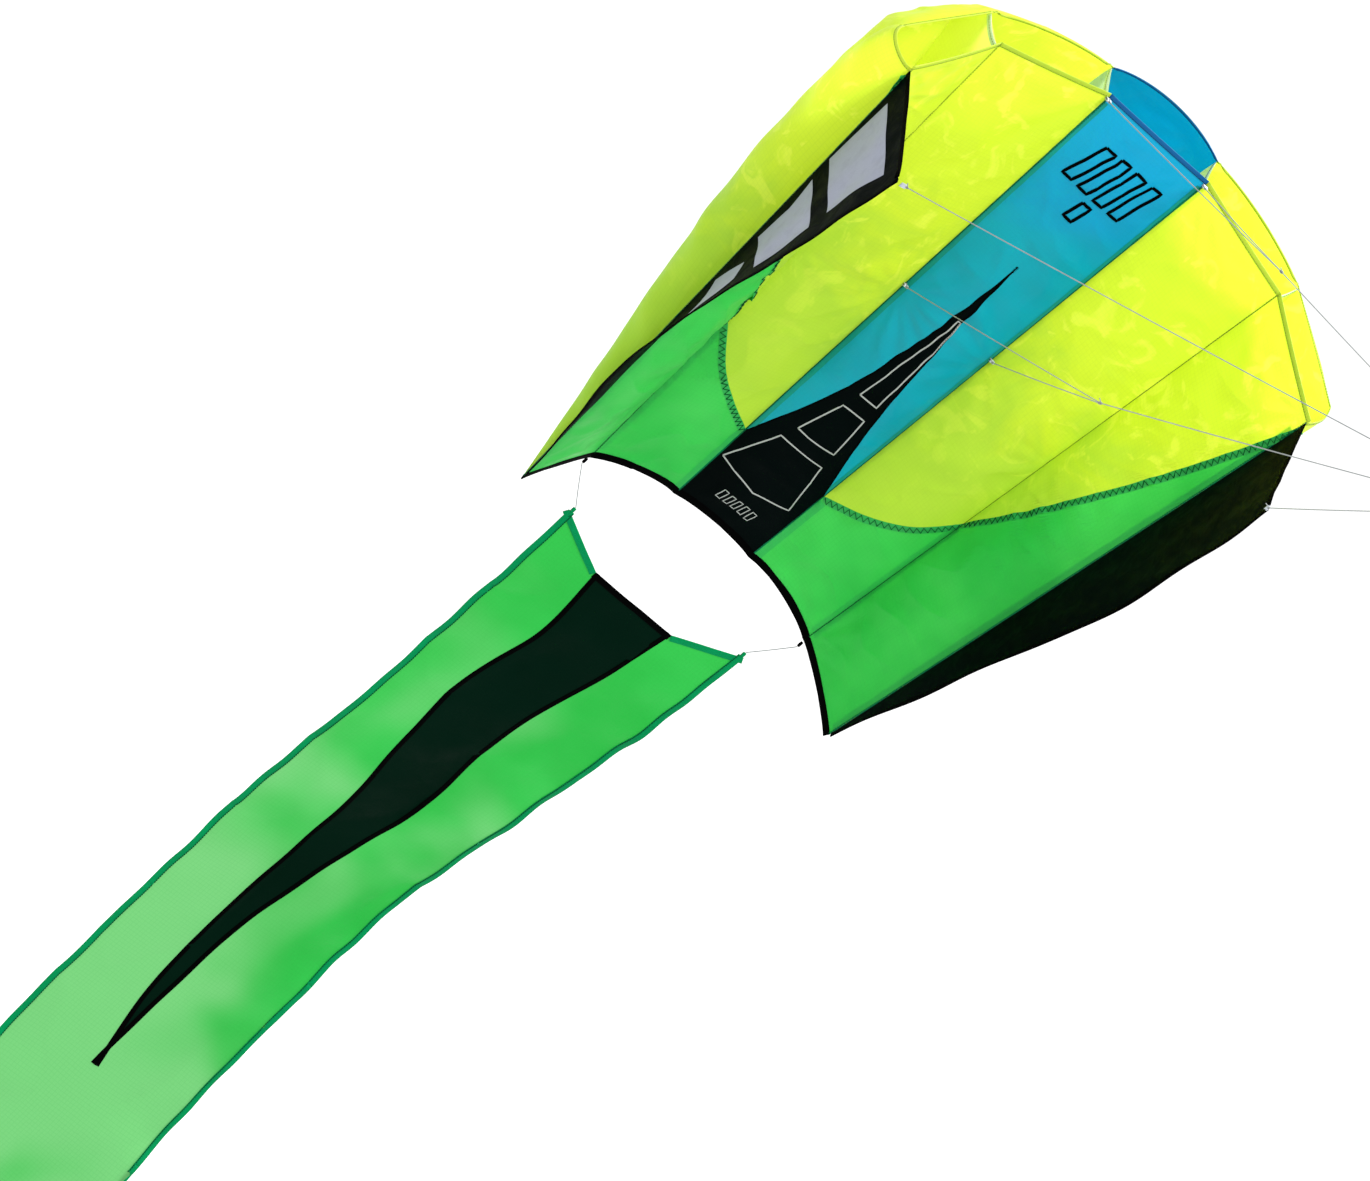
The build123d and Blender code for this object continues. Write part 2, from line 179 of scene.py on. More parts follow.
class Nodes:
    """A short way to write a node tree."""

    def __init__(self, material):
        material.use_nodes = True
        self.tree = material.node_tree
        self.tree.nodes.clear()

    def add(self, kind, inputs=(), **settings):
        node = self.tree.nodes.new(kind)
        for name, value in settings.items():
            setattr(node, name, value)
        for name, value in dict(inputs).items():
            self.give(node.inputs[name], value)
        return node

    def give(self, socket, value):
        if isinstance(value, bpy.types.NodeSocket):
            self.tree.links.new(value, socket)
        else:
            socket.default_value = value

    def math(self, operation, *values):
        node = self.add("ShaderNodeMath", operation=operation)
        for socket, value in zip(node.inputs, values):
            self.give(socket, value)
        return node.outputs[0]

    def noise(self, vector, scale, detail=2.0, roughness=0.5, distortion=0.0):
        node = self.add("ShaderNodeTexNoise", {
            "Vector": vector, "Scale": scale, "Detail": detail, "Roughness": roughness,
            "Distortion": distortion})
        return node.outputs["Fac"]

    def ramp(self, value, low, high, to_low=0.0, to_high=1.0):
        node = self.add("ShaderNodeMapRange", {
            "Value": value, "From Min": low, "From Max": high, "To Min": to_low, "To Max": to_high},
            interpolation_type="SMOOTHSTEP")
        return node.outputs[0]

    def mix(self, factor, first, second):
        node = self.add("ShaderNodeMix", data_type="RGBA")
        for index, value in ((0, factor), (6, first), (7, second)):
            self.give(node.inputs[index], value)
        return node.outputs[2]


def rgba(colour, scale=1.0):
    return tuple(min(1.0, c * scale) for c in colour) + (1,)


def thread_lines(nodes, distance):
    """1 on the thicker threads that cross the cloth every few millimetres."""
    share = nodes.math("FRACT", nodes.math("DIVIDE", distance, RIPSTOP_PITCH))
    away = nodes.math("ABSOLUTE", nodes.math("SUBTRACT", share, 0.5))
    return nodes.ramp(away, 0.40, 0.47)


def shifted_with_height(nodes, place, height, across, tone, colour, start, finish, scale, spread=1.3,
          edge=(0.25, 0.85), detail=4.0, distortion=1.0, tilt=0.0):
    """The tone, turning to another colour between two heights in patches, which on the yellow and the tail
    green are painted light.
    spread is how far the patches stray from their height, and edge the two ends of their soft border.
    tilt is how much sooner the colour turns for each metre to the left; on the tail this paints a paler
    left side."""
    spots = nodes.noise(place, scale, detail, 0.6, distortion)
    stray = nodes.math("MULTIPLY", nodes.math("SUBTRACT", spots, 0.5), spread)
    share = nodes.math("ADD", nodes.ramp(height, start, finish), stray)
    share = nodes.math("SUBTRACT", share, nodes.math("MULTIPLY", across, tilt))
    return nodes.mix(nodes.ramp(share, *edge), tone, rgba(colour))


def make_ripstop(name, colour, deep, see_through, roughness=0.42, grain=0.06, shine=0.22, sheen=0.06,
                 height_shift=None, painted_sun_patches=None, on_cut=False):
    """Thin coated ripstop nylon, lit from both sides. colour and deep are its lighter and darker shades,
    and height_shift says how it turns to another colour with height, which on the yellow and the tail green
    is painted light.
    painted_sun_patches is the colour of small bright patches of painted sunlight, where the sun would come
    through creased cloth, with the heights that they come in between and their scale. Where on_cut is true,
    the colours follow the cloth's flat cut, so that they stay with cloth that bends."""
    material = bpy.data.materials.new(name)
    nodes = Nodes(material)
    uv = nodes.add("ShaderNodeUVMap").outputs[0]
    place = uv if on_cut else nodes.add("ShaderNodeTexCoord").outputs["Object"]
    position = nodes.add("ShaderNodeSeparateXYZ", {0: place})
    height, across = position.outputs[1 if on_cut else 2], position.outputs[0]
    parts = nodes.add("ShaderNodeSeparateXYZ", {0: uv})
    grid = nodes.math("MAXIMUM", thread_lines(nodes, parts.outputs[0]),
                      thread_lines(nodes, parts.outputs[1]))
    clouds = nodes.noise(place, 5.0, 3.0, 0.55)
    flecks = nodes.noise(uv, 900.0, 2.0, 0.7)
    folds = nodes.noise(place, 38.0, 3.0, 0.6, 0.6)
    tone = nodes.mix(nodes.ramp(clouds, 0.32, 0.68), rgba(deep), rgba(colour))
    # The tone turns to another colour with height; on the yellow and the tail green this is painted light.
    if height_shift:
        tone = shifted_with_height(nodes, place, height, across, tone, **height_shift)
    # Painted sunlight: small bright patches where the sun would shine through creased cloth.
    if painted_sun_patches:
        bright, start, finish, scale = painted_sun_patches
        spots = nodes.ramp(nodes.noise(place, scale, 3.0, 0.55, 1.6), 0.53, 0.66, 0.0, 0.55)
        spots = nodes.math("MULTIPLY", spots, nodes.ramp(height, start, finish))
        tone = nodes.mix(spots, tone, rgba(bright))
    tone = nodes.mix(nodes.math("MULTIPLY", grid, 0.12), tone, rgba(deep, 0.8))
    tone = nodes.mix(nodes.ramp(flecks, 0.35, 0.75, 0.0, grain), tone, rgba(colour, 1.25))
    gloss = nodes.ramp(folds, 0.3, 0.7, roughness - 0.07, roughness + 0.10)
    weave = nodes.math("ADD", nodes.math("MULTIPLY", flecks, 0.5), grid)
    bump = nodes.add("ShaderNodeBump", {"Height": weave, "Strength": 0.25, "Distance": 0.15 * MM})
    soft = nodes.add("ShaderNodeBump", {
        "Height": folds, "Strength": 0.35, "Distance": 2.5 * MM, "Normal": bump.outputs[0]})
    surface = nodes.add("ShaderNodeBsdfPrincipled", {
        "Base Color": tone, "Roughness": gloss, "Normal": soft.outputs[0],
        "Specular IOR Level": shine, "Sheen Weight": sheen, "Sheen Roughness": 0.4})
    through = nodes.add("ShaderNodeBsdfTranslucent", {"Color": tone, "Normal": soft.outputs[0]})
    both = nodes.add("ShaderNodeMixShader", {
        0: see_through, 1: surface.outputs[0], 2: through.outputs[0]})
    nodes.add("ShaderNodeOutputMaterial", {0: both.outputs[0]})
    return material


def make_woven(name, colour, deep, pitch=0.9 * MM, roughness=0.65, shine=0.35, sheen=0.2):
    """Folded woven tape, or braided line."""
    material = bpy.data.materials.new(name)
    nodes = Nodes(material)
    place = nodes.add("ShaderNodeTexCoord").outputs["Object"]
    weave = nodes.noise(place, 1 / pitch, 2.0, 0.6)
    clouds = nodes.noise(place, 30.0, 2.0)
    tone = nodes.mix(nodes.ramp(weave, 0.35, 0.65), rgba(deep), rgba(colour))
    tone = nodes.mix(nodes.ramp(clouds, 0.4, 0.7, 0, 0.25), tone, rgba(colour, 1.3))
    bump = nodes.add("ShaderNodeBump", {"Height": weave, "Strength": 0.5, "Distance": 0.3 * MM})
    surface = nodes.add("ShaderNodeBsdfPrincipled", {
        "Base Color": tone, "Roughness": nodes.ramp(weave, 0.3, 0.7, roughness - 0.1, roughness + 0.1),
        "Normal": bump.outputs[0], "Specular IOR Level": shine, "Sheen Weight": sheen})
    nodes.add("ShaderNodeOutputMaterial", {0: surface.outputs[0]})
    return material


def make_print(name, colour):
    """Matt silver ink printed on the cloth."""
    material = bpy.data.materials.new(name)
    nodes = Nodes(material)
    place = nodes.add("ShaderNodeTexCoord").outputs["Object"]
    speckle = nodes.noise(place, 1400.0, 2.0, 0.7)
    worn = nodes.noise(place, 60.0, 3.0, 0.6)
    tone = nodes.mix(nodes.ramp(speckle, 0.35, 0.7), rgba(colour, 0.75), rgba(colour))
    tone = nodes.mix(nodes.ramp(worn, 0.45, 0.75, 0, 0.35), tone, rgba(colour, 0.6))
    surface = nodes.add("ShaderNodeBsdfPrincipled", {
        "Base Color": tone, "Roughness": nodes.ramp(speckle, 0.3, 0.7, 0.38, 0.6),
        "Metallic": 0.25})
    nodes.add("ShaderNodeOutputMaterial", {0: surface.outputs[0]})
    return material


def make_steel():
    material = bpy.data.materials.new("ring_steel_brushed")
    nodes = Nodes(material)
    place = nodes.add("ShaderNodeTexCoord").outputs["Object"]
    brushed = nodes.noise(place, 1800.0, 3.0, 0.6)
    smears = nodes.noise(place, 260.0, 2.0)
    tone = nodes.mix(nodes.ramp(smears, 0.35, 0.7), (0.52, 0.53, 0.55, 1), (0.68, 0.68, 0.7, 1))
    bump = nodes.add("ShaderNodeBump", {"Height": brushed, "Strength": 0.15, "Distance": 0.1 * MM})
    surface = nodes.add("ShaderNodeBsdfPrincipled", {
        "Base Color": tone, "Metallic": 1.0, "Normal": bump.outputs[0],
        "Roughness": nodes.ramp(brushed, 0.3, 0.7, 0.22, 0.38)})
    nodes.add("ShaderNodeOutputMaterial", {0: surface.outputs[0]})
    return material


MATERIALS = {
    # The yellow turns lighter towards the nose in patches, with small bright spots there: painted sunlight
    # coming through the cloth.
    "yellow": make_ripstop("ripstop_yellow", (0.60, 0.80, 0.070), (0.50, 0.72, 0.060), 0.5,
                           height_shift={"colour": (0.74, 0.87, 0.05), "start": -1.05, "finish": -0.60,
                                 "scale": 9.0},
                           painted_sun_patches=((0.98, 1.0, 0.13), -1.05, -0.70, 22.0)),
    "pale": make_ripstop("ripstop_pale", (0.66, 0.82, 0.46), (0.56, 0.74, 0.40), 0.5),
    # The middle ribs' cream is partly the rib cloth's own colour and partly painted light, brighter to
    # stand in for light inside the cells.
    "cream": make_ripstop("ripstop_cream", (0.93, 0.97, 0.24), (0.86, 0.92, 0.19), 0.5),
    "green": make_ripstop("ripstop_green", (0.062, 0.65, 0.130), (0.026, 0.51, 0.085), 0.45),
    # The tail green turns pale in large soft patches further down the tail, and sooner to the left: painted
    # sheen of the sun.
    "tail_green": make_ripstop("ripstop_tail_green", (0.022, 0.44, 0.056), (0.012, 0.37, 0.038), 0.40,
                               height_shift={"colour": (0.15, 0.51, 0.16), "start": -0.66, "finish": -2.15,
                                     "scale": 3.2, "spread": 2.2, "edge": (0.20, 0.84), "detail": 2.0,
                                     "distortion": 0.35, "tilt": 1.3}, on_cut=True),
    "blue": make_ripstop("ripstop_blue", (0.0, 0.42, 0.53), (0.0, 0.36, 0.46), 0.28,
                         height_shift={"colour": (0.0, 0.34, 0.58), "start": -0.80, "finish": -0.50, "scale": 4.0}),
    "black": make_ripstop("ripstop_black", (0.0006, 0.0026, 0.0024), (0.0004, 0.0014, 0.0013), 0.0,
                          roughness=0.55, grain=0.01, shine=0.015, sheen=0.0),
    "tail_black": make_ripstop("ripstop_flame", (0.0004, 0.0098, 0.0046), (0.0002, 0.0080, 0.0036), 0.05,
                               roughness=0.5, grain=0.01, shine=0.012, sheen=0.0, on_cut=True),
    "black_tape": make_woven("binding_black", (0.0007, 0.0007, 0.0007), (0.0004, 0.0004, 0.0004),
                             shine=0.01, sheen=0.0),
    "green_tape": make_woven("binding_green", (0.0, 0.245, 0.076), (0.0, 0.18, 0.052), shine=0.04,
                             sheen=0.0),
    # These two are darker, tinted copies of the green and the blue, laid on the flyer's face: partly the
    # real second layer at a seam, partly painted shade for less backlight through two layers.
    "green_overlap_painted_shade": make_ripstop("ripstop_green_double_painted_shade", (0.042, 0.56, 0.115), (0.022, 0.46, 0.082), 0.35),
    "teal_band_painted_shade": make_ripstop("ripstop_teal_double_painted_shade", (0.0, 0.33, 0.26), (0.0, 0.27, 0.21), 0.2),
    "blue_double": make_ripstop("ripstop_blue_double", (0.0, 0.14, 0.36), (0.0, 0.10, 0.30), 0.2),
    "yellow_tape": make_ripstop("ripstop_yellow_double", (0.62, 0.76, 0.055), (0.50, 0.66, 0.045), 0.3),
    "seam_green": make_woven("seam_green", (0.0, 0.17, 0.065), (0.0, 0.11, 0.04), 0.6 * MM, shine=0.08,
                             sheen=0.0),
    "pale_tape": make_woven("rib_tape_pale", (0.62, 0.78, 0.55), (0.48, 0.64, 0.42), shine=0.2, sheen=0.05),
    "thread_green": make_woven("thread_green", (0.0, 0.070, 0.024), (0.0, 0.040, 0.014), 0.4 * MM,
                               shine=0.05, sheen=0.0),
    "thread_olive": make_woven("thread_olive", (0.13, 0.22, 0.01), (0.08, 0.15, 0.01), 0.4 * MM,
                               shine=0.08, sheen=0.0),
    "thread_navy": make_woven("thread_navy", (0.0, 0.03, 0.09), (0.0, 0.02, 0.06), 0.4 * MM, shine=0.08,
                              sheen=0.0),
    "line": make_woven("bridle_line", (0.28, 0.30, 0.30), (0.17, 0.19, 0.19), 0.5 * MM),
    "tab_white": make_woven("tab_white", (0.62, 0.66, 0.74), (0.48, 0.52, 0.60), 0.6 * MM),
    "silver": make_print("silver_ink", (0.42, 0.45, 0.42)),
    "window": make_print("window_ink", (0.33, 0.355, 0.46)),
    "steel": make_steel(),
}

# ---- Pieces -------------------------------------------------------------------------------------


def add_piece(name, vertices, faces, look, uvs=None):
    """A smooth mesh piece with one material. uvs holds one pair for each vertex, in metres."""
    mesh = bpy.data.meshes.new(name)
    mesh.from_pydata([tuple(v) for v in vertices], [], faces)
    mesh.polygons.foreach_set("use_smooth", [True] * len(faces))
    mesh.materials.append(MATERIALS[look])
    if uvs is not None:
        layer = mesh.uv_layers.new(name="cut")
        corners = np.zeros(len(mesh.loops), int)
        mesh.loops.foreach_get("vertex_index", corners)
        layer.data.foreach_set("uv", np.asarray(uvs, float)[corners].ravel())
    piece = bpy.data.objects.new(name, mesh)
    bpy.context.scene.collection.objects.link(piece)
    return piece


def quads(rows, columns, around=False):
    """Faces of a grid of vertices, closed into a tube where around is true."""
    across = columns if around else columns - 1
    faces = []
    for row in range(rows - 1):
        for column in range(across):
            beside = (column + 1) % columns
            faces.append((row * columns + column, row * columns + beside,
                          (row + 1) * columns + beside, (row + 1) * columns + column))
    return faces


def add_cloth(name, points, look, uvs):
    """A sheet of cloth from a grid of points."""
    rows, columns, _ = points.shape
    return add_piece(name, points.reshape(-1, 3), quads(rows, columns), look, uvs.reshape(-1, 2))


def attach(piece, holder, nodes=()):
    """Fix a piece to a body, or pass it to tail_attach with a stretch of the tail. It stands for the CAD
    nodes.
    """
    if isinstance(holder, str):
        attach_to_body(piece, holder)
    else:
        tail_attach(piece, holder)
    if nodes:
        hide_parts(*nodes)
    return piece


WELD_DISTANCE = 0.01 * MM


def weld(piece):
    """Join the points of a mesh that lie on each other."""
    mesh = bmesh.new()
    mesh.from_mesh(piece.data)
    bmesh.ops.remove_doubles(mesh, verts=mesh.verts, dist=WELD_DISTANCE)
    mesh.to_mesh(piece.data)
    mesh.free()


def unit(vectors):
    return vectors / np.linalg.norm(vectors, axis=-1, keepdims=True)


def add_swept(name, path, sideways, normal, section, look):
    """Sweep a closed section of (sideways, outward) pairs along a path of points, and close its ends."""
    section = np.asarray(section, float)
    rings = (path[:, None] + sideways[:, None] * section[None, :, :1]
             + normal[:, None] * section[None, :, 1:])
    rows, columns, _ = rings.shape
    faces = quads(rows, columns, around=True)
    faces.append(tuple(range(columns - 1, -1, -1)))
    faces.append(tuple((rows - 1) * columns + i for i in range(columns)))
    return add_piece(name, rings.reshape(-1, 3), faces, look)


def tape_section(near, far, thickness, lift=0.0):
    """A flat folded tape with rounded long edges, from near to far sideways."""
    half = thickness / 2
    turn = min(half, abs(far - near) / 4) * (1 if far > near else -1)
    return [(near, lift), (near + 0.3 * turn, lift + 0.75 * half), (near + turn, lift + half),
            (far - turn, lift + half), (far - 0.3 * turn, lift + 0.75 * half), (far, lift),
            (far - 0.3 * turn, lift - 0.75 * half), (far - turn, lift - half),
            (near + turn, lift - half), (near + 0.3 * turn, lift - 0.75 * half)]


def round_section(radius, sides=6):
    return [(radius * cos(2 * pi * i / sides), radius * sin(2 * pi * i / sides)) for i in range(sides)]


def on_surface(surface, across, along, outward=(0, -1, 0), step=1e-3):
    """Points of a surface on a path of its two shares, with the sideways direction and the normal.
    The normal is on the outward side."""
    across, along = np.broadcast_arrays(np.asarray(across, float), np.asarray(along, float))
    path = surface(across, along)
    inner = np.clip(across, step, 1 - step)
    first = surface(inner + step, along) - surface(inner - step, along)
    second = surface(across, along + step) - surface(across, along - step)
    normal = unit(np.cross(first, second))
    normal = np.where((normal @ np.asarray(outward, float))[:, None] < 0, -normal, normal)
    ahead = unit(np.gradient(path, axis=0))
    return path, unit(np.cross(normal, ahead)), normal


def joined(runs):
    """Several runs of (path, sideways, normal) end to end, without the points that they share."""
    kept = [tuple(part[1:] if index else part for part in run) for index, run in enumerate(runs)]
    return tuple(np.concatenate(parts) for parts in zip(*kept))


def pointing(run, way):
    """The same run, with its sideways direction on the side of way."""
    path, sideways, normal = run
    sign = np.where((sideways @ np.asarray(way, float))[:, None] < 0, -1.0, 1.0)
    return path, sideways * sign, normal


# ---- Shapes of the canopy -----------------------------------------------------------------------


def smooth_through(stations):
    """A smooth curve through (position, value) stations, read at an array of positions."""
    at, value = np.array(stations, float).T
    slope = np.gradient(value, at)

    def read(position):
        x = np.clip(np.asarray(position, float), at[0], at[-1])
        i = np.clip(np.searchsorted(at, x, side="right") - 1, 0, len(at) - 2)
        width = at[i + 1] - at[i]
        t = (x - at[i]) / width
        return ((2 * t ** 3 - 3 * t ** 2 + 1) * value[i] + (t ** 3 - 2 * t ** 2 + t) * width * slope[i]
                + (3 * t ** 2 - 2 * t ** 3) * value[i + 1] + (t ** 3 - t ** 2) * width * slope[i + 1])
    return read


def column(values):
    return np.asarray(values, float)[..., None]


def rib_point(rib, side, chord, height=0.0, lean=None):
    """Points in a rib's plane: chord runs from 0 at the nose to 1 at the trailing edge."""
    corner = RIB_CORNER[rib] * (side, 1, 1)
    along = (CHORD_MEETING - corner) * CHORD_SHARE
    angle = np.radians(RIB_LEAN[rib] if lean is None else lean)
    height = np.asarray(height, float)
    lift = np.stack(np.broadcast_arrays(side * np.sin(angle) * height, np.cos(angle) * height,
                                        0.0 * height), axis=-1)
    return NOSE + corner + column(chord) * along + lift


def rib_way(rib, side):
    """The direction in which a rib stands up from the bottom skin."""
    lean = radians(RIB_LEAN[rib])
    return np.array((side * sin(lean), cos(lean), 0))


def rib_face(rib, side):
    """The direction square to a rib, away from the middle of the kite."""
    lean = radians(RIB_LEAN[rib])
    return np.array((side * cos(lean), -sin(lean), 0))


def top_height(rib, station):
    station = np.clip(station, 0, 1)
    swell = RIB_SWELL[rib] * np.sin(pi * station ** SWELL_SHAPE)
    return LIP_HEIGHT[rib] * (1 - station) + swell + EDGE_GAP * station


def top_point(rib, side, station, lift=0.0):
    chord = station * (1 + LIP_LEAD) - LIP_LEAD
    return rib_point(rib, side, chord, top_height(rib, station) + lift)


def cell_ends(cell, side):
    """The two ribs of a cell with their sides, from the one nearer the middle of the kite."""
    first, second = CELL_RIBS[cell]
    return ((first, -1), (second, 1)) if cell == "middle" else ((first, side), (second, side))


# ---- Bridle and tail lines ----------------------------------------------------------------------

TAB_DEPTH = 5 * MM
TAB_LENGTH = 8 * MM
TAB_GAP = 1.5 * MM
TAB_REACH = 6 * MM
KNOT_LENGTH = 10 * MM
LINE_BITE = 1.5 * MM
LINE_SPREAD = 2 * MM
LINE_RADIUS = LINE_DIAMETER / 2
NOSE_TAB_CHORD = 0.003
MIDDLE_LINE_CHORD = 0.467
NOSE_KNOT_SHARE = 0.39
TAB_WIDTH = 6 * MM
TAB_HALF_LOOP = 1.5 * MM
TAB_THICKNESS = 0.7 * MM
FIN_TAB_REACH = 11 * MM
FIN_HITCH_DISTANCE = 13 * MM
HITCH_DISTANCE = 2 * MM
# The length, the radius and the number of turns of each kind of knot.
HITCH = (3 * MM, 0.9 * MM, 3)
FORK_KNOT = (7 * MM, 1.3 * MM, 5)
TOW_KNOT = (5 * MM, 2.6 * MM, 4)
MIDDLE_KNOT = np.array((0, -0.493, -0.078))
BRIDLE_MIDDLE = np.array((0, 0, -0.170))
TOW_KNOT_DISTANCE = 13.5 * MM
LINE_SAG = 0.003
TAIL_LINE_SAG = 0.02


def towards(start, finish, distance):
    return start + unit(finish - start) * distance


def add_line(node, start, finish, body, sag=LINE_SAG):
    """A taut line as a curve with a trace of sag, standing for one CAD line."""
    middle = (start + finish) / 2 - np.array((0, 0, sag)) * np.linalg.norm(finish - start)
    curve = bpy.data.curves.new(f"cord_{node}", "CURVE")
    curve.dimensions = "3D"
    spline = curve.splines.new("NURBS")
    route = (start, middle, finish)
    spline.points.add(len(route) - 1)
    for point, place in zip(spline.points, route):
        point.co = (*place, 1)
    spline.order_u = 3
    spline.use_endpoint_u = True
    spline.resolution_u = 24
    curve.bevel_depth = LINE_RADIUS
    curve.bevel_resolution = 3
    curve.use_fill_caps = True
    curve.materials.append(MATERIALS["line"])
    piece = bpy.data.objects.new(f"cord_{node}", curve)
    bpy.context.scene.collection.objects.link(piece)
    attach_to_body(piece, body)
    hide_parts(node)
    return piece


def frame_to(axis):
    """Two directions square to an axis and to each other."""
    axis = unit(axis)
    side = unit(np.cross(axis, (0.31, 0.87, 0.41)))
    return side, np.cross(axis, side)


def add_knot(name, centre, axis, length, radius, turns, node):
    """A stopper knot: the line wound round itself, with each wrap beside the last."""
    axis = unit(axis)
    side, other = frame_to(axis)
    wraps = np.linspace(0, 1, turns * 14 + 1)
    angle = 2 * pi * turns * wraps
    swell = radius * (0.75 + 0.25 * np.sin(pi * wraps))
    wound = (centre + axis * column((wraps - 0.5) * length) + side * column(swell * np.cos(angle))
             + other * column(swell * np.sin(angle)))
    tail_way = unit(side + 0.6 * axis)
    cut_end = wound[-1] + tail_way * column(np.linspace(0.001, 0.007, 5))
    path = np.concatenate((wound, cut_end))
    ahead = unit(np.gradient(path, axis=0))
    normal = unit(np.cross(ahead, np.cross(path - centre, ahead) + 1e-6 * side))
    piece = add_swept(name, path, unit(np.cross(normal, ahead)), normal, round_section(LINE_RADIUS), "line")
    return attach(piece, "canopy", [node])


def add_tab(name, root, way, width_way, node, reach, body="canopy", look="tab_white", width=TAB_WIDTH):
    """A loop of folded tape sewn in at root, reaching out along way."""
    way, width_way = unit(np.asarray(way, float)), unit(np.asarray(width_way, float))
    across = unit(np.cross(way, width_way))
    loop = ((-0.5, -0.05), (-0.9, 0.25), (-1.0, 0.6), (-0.75, 0.88), (0, 1.0), (0.75, 0.88), (1.0, 0.6),
            (0.9, 0.25), (0.5, -0.05))
    path = np.array([root + across * a * TAB_HALF_LOOP + way * b * reach for a, b in loop])
    ahead = unit(np.gradient(path, axis=0))
    sideways = np.repeat(width_way[None], len(path), axis=0)
    section = tape_section(-width / 2, width / 2, TAB_THICKNESS)
    piece = add_swept(name, path, sideways, unit(np.cross(ahead, sideways)), section, look)
    return attach(piece, body, [node])


def add_fork_leg(name, word, tab, below, knot):
    """One leg of a forked bridle, from its tab on an inner rib to its knot, with its hitch."""
    spanwise = np.array((1.0, 0, 0))
    anchor = towards(tab, knot, TAB_REACH)
    entry = knot + spanwise * SIDES[word] * 1.5 * LINE_RADIUS
    add_line(f"bridle_{name}_line_{word}", anchor,
             towards(entry, anchor, KNOT_LENGTH / 2 - LINE_BITE), "canopy")
    way = anchor - tab + below
    add_tab(f"tab_{name}_{word}", tab - below, way, spanwise, "bridle_tabs", float(np.linalg.norm(way)))
    add_knot(f"hitch_{name}_{word}", towards(anchor, entry, HITCH_DISTANCE), entry - anchor, *HITCH,
             "bridle_tabs")


def add_fin_line(word, tow_knot):
    """The main line of one fin, from the tab at the fin's tip, with its hitch."""
    side = SIDES[word]
    fin_tip = rib_point("outer", side, FIN_EDGE[0][0], FIN_EDGE[0][1], FIN_LEAN)
    fin_tab = towards(fin_tip, tow_knot, TAB_LENGTH / 2 + TAB_GAP)
    fin_end = tow_knot + np.array((1.0, 0, 0)) * side * LINE_SPREAD
    line = add_line(f"bridle_fin_line_{word}", towards(fin_tab, fin_end, TAB_REACH), fin_end, "canopy")
    add_tab(f"tab_fin_{word}", fin_tip, tow_knot - fin_tip, (0, 0, 1.0), "bridle_tabs", FIN_TAB_REACH)
    add_knot(f"hitch_fin_{word}", towards(fin_tip, fin_end, FIN_HITCH_DISTANCE), fin_end - fin_tip, *HITCH,
             "bridle_tabs")
    return line


def make_bridle():
    pull = unit(NOSE + BRIDLE_MIDDLE)
    tow_knot = pull * TOW_KNOT_DISTANCE
    beside = np.array((0, -pull[2], pull[1])) * LINE_SPREAD
    nose_knot, middle_knot = NOSE * (1 - NOSE_KNOT_SHARE), NOSE + MIDDLE_KNOT
    below = np.array((0, -CLOTH - TAB_GAP - TAB_DEPTH / 2, 0))
    for word, side in SIDES.items():
        for name, chord, knot in (("nose", NOSE_TAB_CHORD, nose_knot),
                                  ("middle", MIDDLE_LINE_CHORD, middle_knot)):
            add_fork_leg(name, word, rib_point("inner", side, chord) + below, below, knot)
        add_fin_line(word, tow_knot)
    for name, knot, shift in (("nose", nose_knot, beside), ("middle", middle_knot, -beside)):
        ring_end = tow_knot + shift
        start = towards(knot, ring_end, KNOT_LENGTH / 2 - LINE_BITE)
        add_line(f"bridle_{name}_main", start, ring_end, "canopy")
        add_knot(f"knot_{name}", knot, tow_knot - knot, *FORK_KNOT, "bridle_knots")
    tow = add_knot("knot_tow", tow_knot, pull, *TOW_KNOT, "tow_knot")


TAIL_TAB_LENGTH = 6 * MM
TAIL_LINE_SLACK = 1.6 * MM
TAIL_LINE_INSET = 3.5 * MM
TAIL_TAB_WIDTH = 3 * MM
TAIL_CORNER_TAB_WIDTH = 4 * MM


def make_tail_lines():
    corner = RIB_CORNER["middle"]
    anchor_x = corner[0] * (1 - CHORD_SHARE)
    corner_x = TAIL_FRONT_HALF - TAIL_LINE_INSET
    hinge_z = (corner[2] + (CHORD_MEETING[2] - corner[2]) * CHORD_SHARE - BINDING_WIDTH - TAB_GAP
               - TAIL_TAB_LENGTH)
    low_z = TAIL_CORNER_Z + TAIL_TAB_LENGTH
    down, spanwise = np.array((0, 0, -1.0)), np.array((1.0, 0, 0))
    for word, side in SIDES.items():
        top = NOSE + np.array((side * anchor_x, TAIL_Y, hinge_z))
        low = NOSE + np.array((side * corner_x, TAIL_Y, low_z))
        start, finish = top + down * TAIL_LINE_SLACK, low - down * TAIL_LINE_SLACK
        line = add_line(f"tail_line_{word}", start, finish, "tail_lines", TAIL_LINE_SAG)
        add_tab(f"tab_tail_{word}", top - down * TAIL_TAB_LENGTH * 1.1, down, spanwise, "tail_tabs",
                TAIL_TAB_LENGTH * 1.2, look="black_tape", width=TAIL_TAB_WIDTH)
        add_tab(f"tab_tail_corner_{word}", low + down * TAIL_TAB_LENGTH, -down, spanwise,
                "tail_corner_tabs", TAIL_TAB_LENGTH * 1.1, "tail_head", "green_tape",
                TAIL_CORNER_TAB_WIDTH)


make_bridle()
make_tail_lines()

# ---- Relief of the cloth ------------------------------------------------------------------------

RANDOM = np.random.default_rng(7)


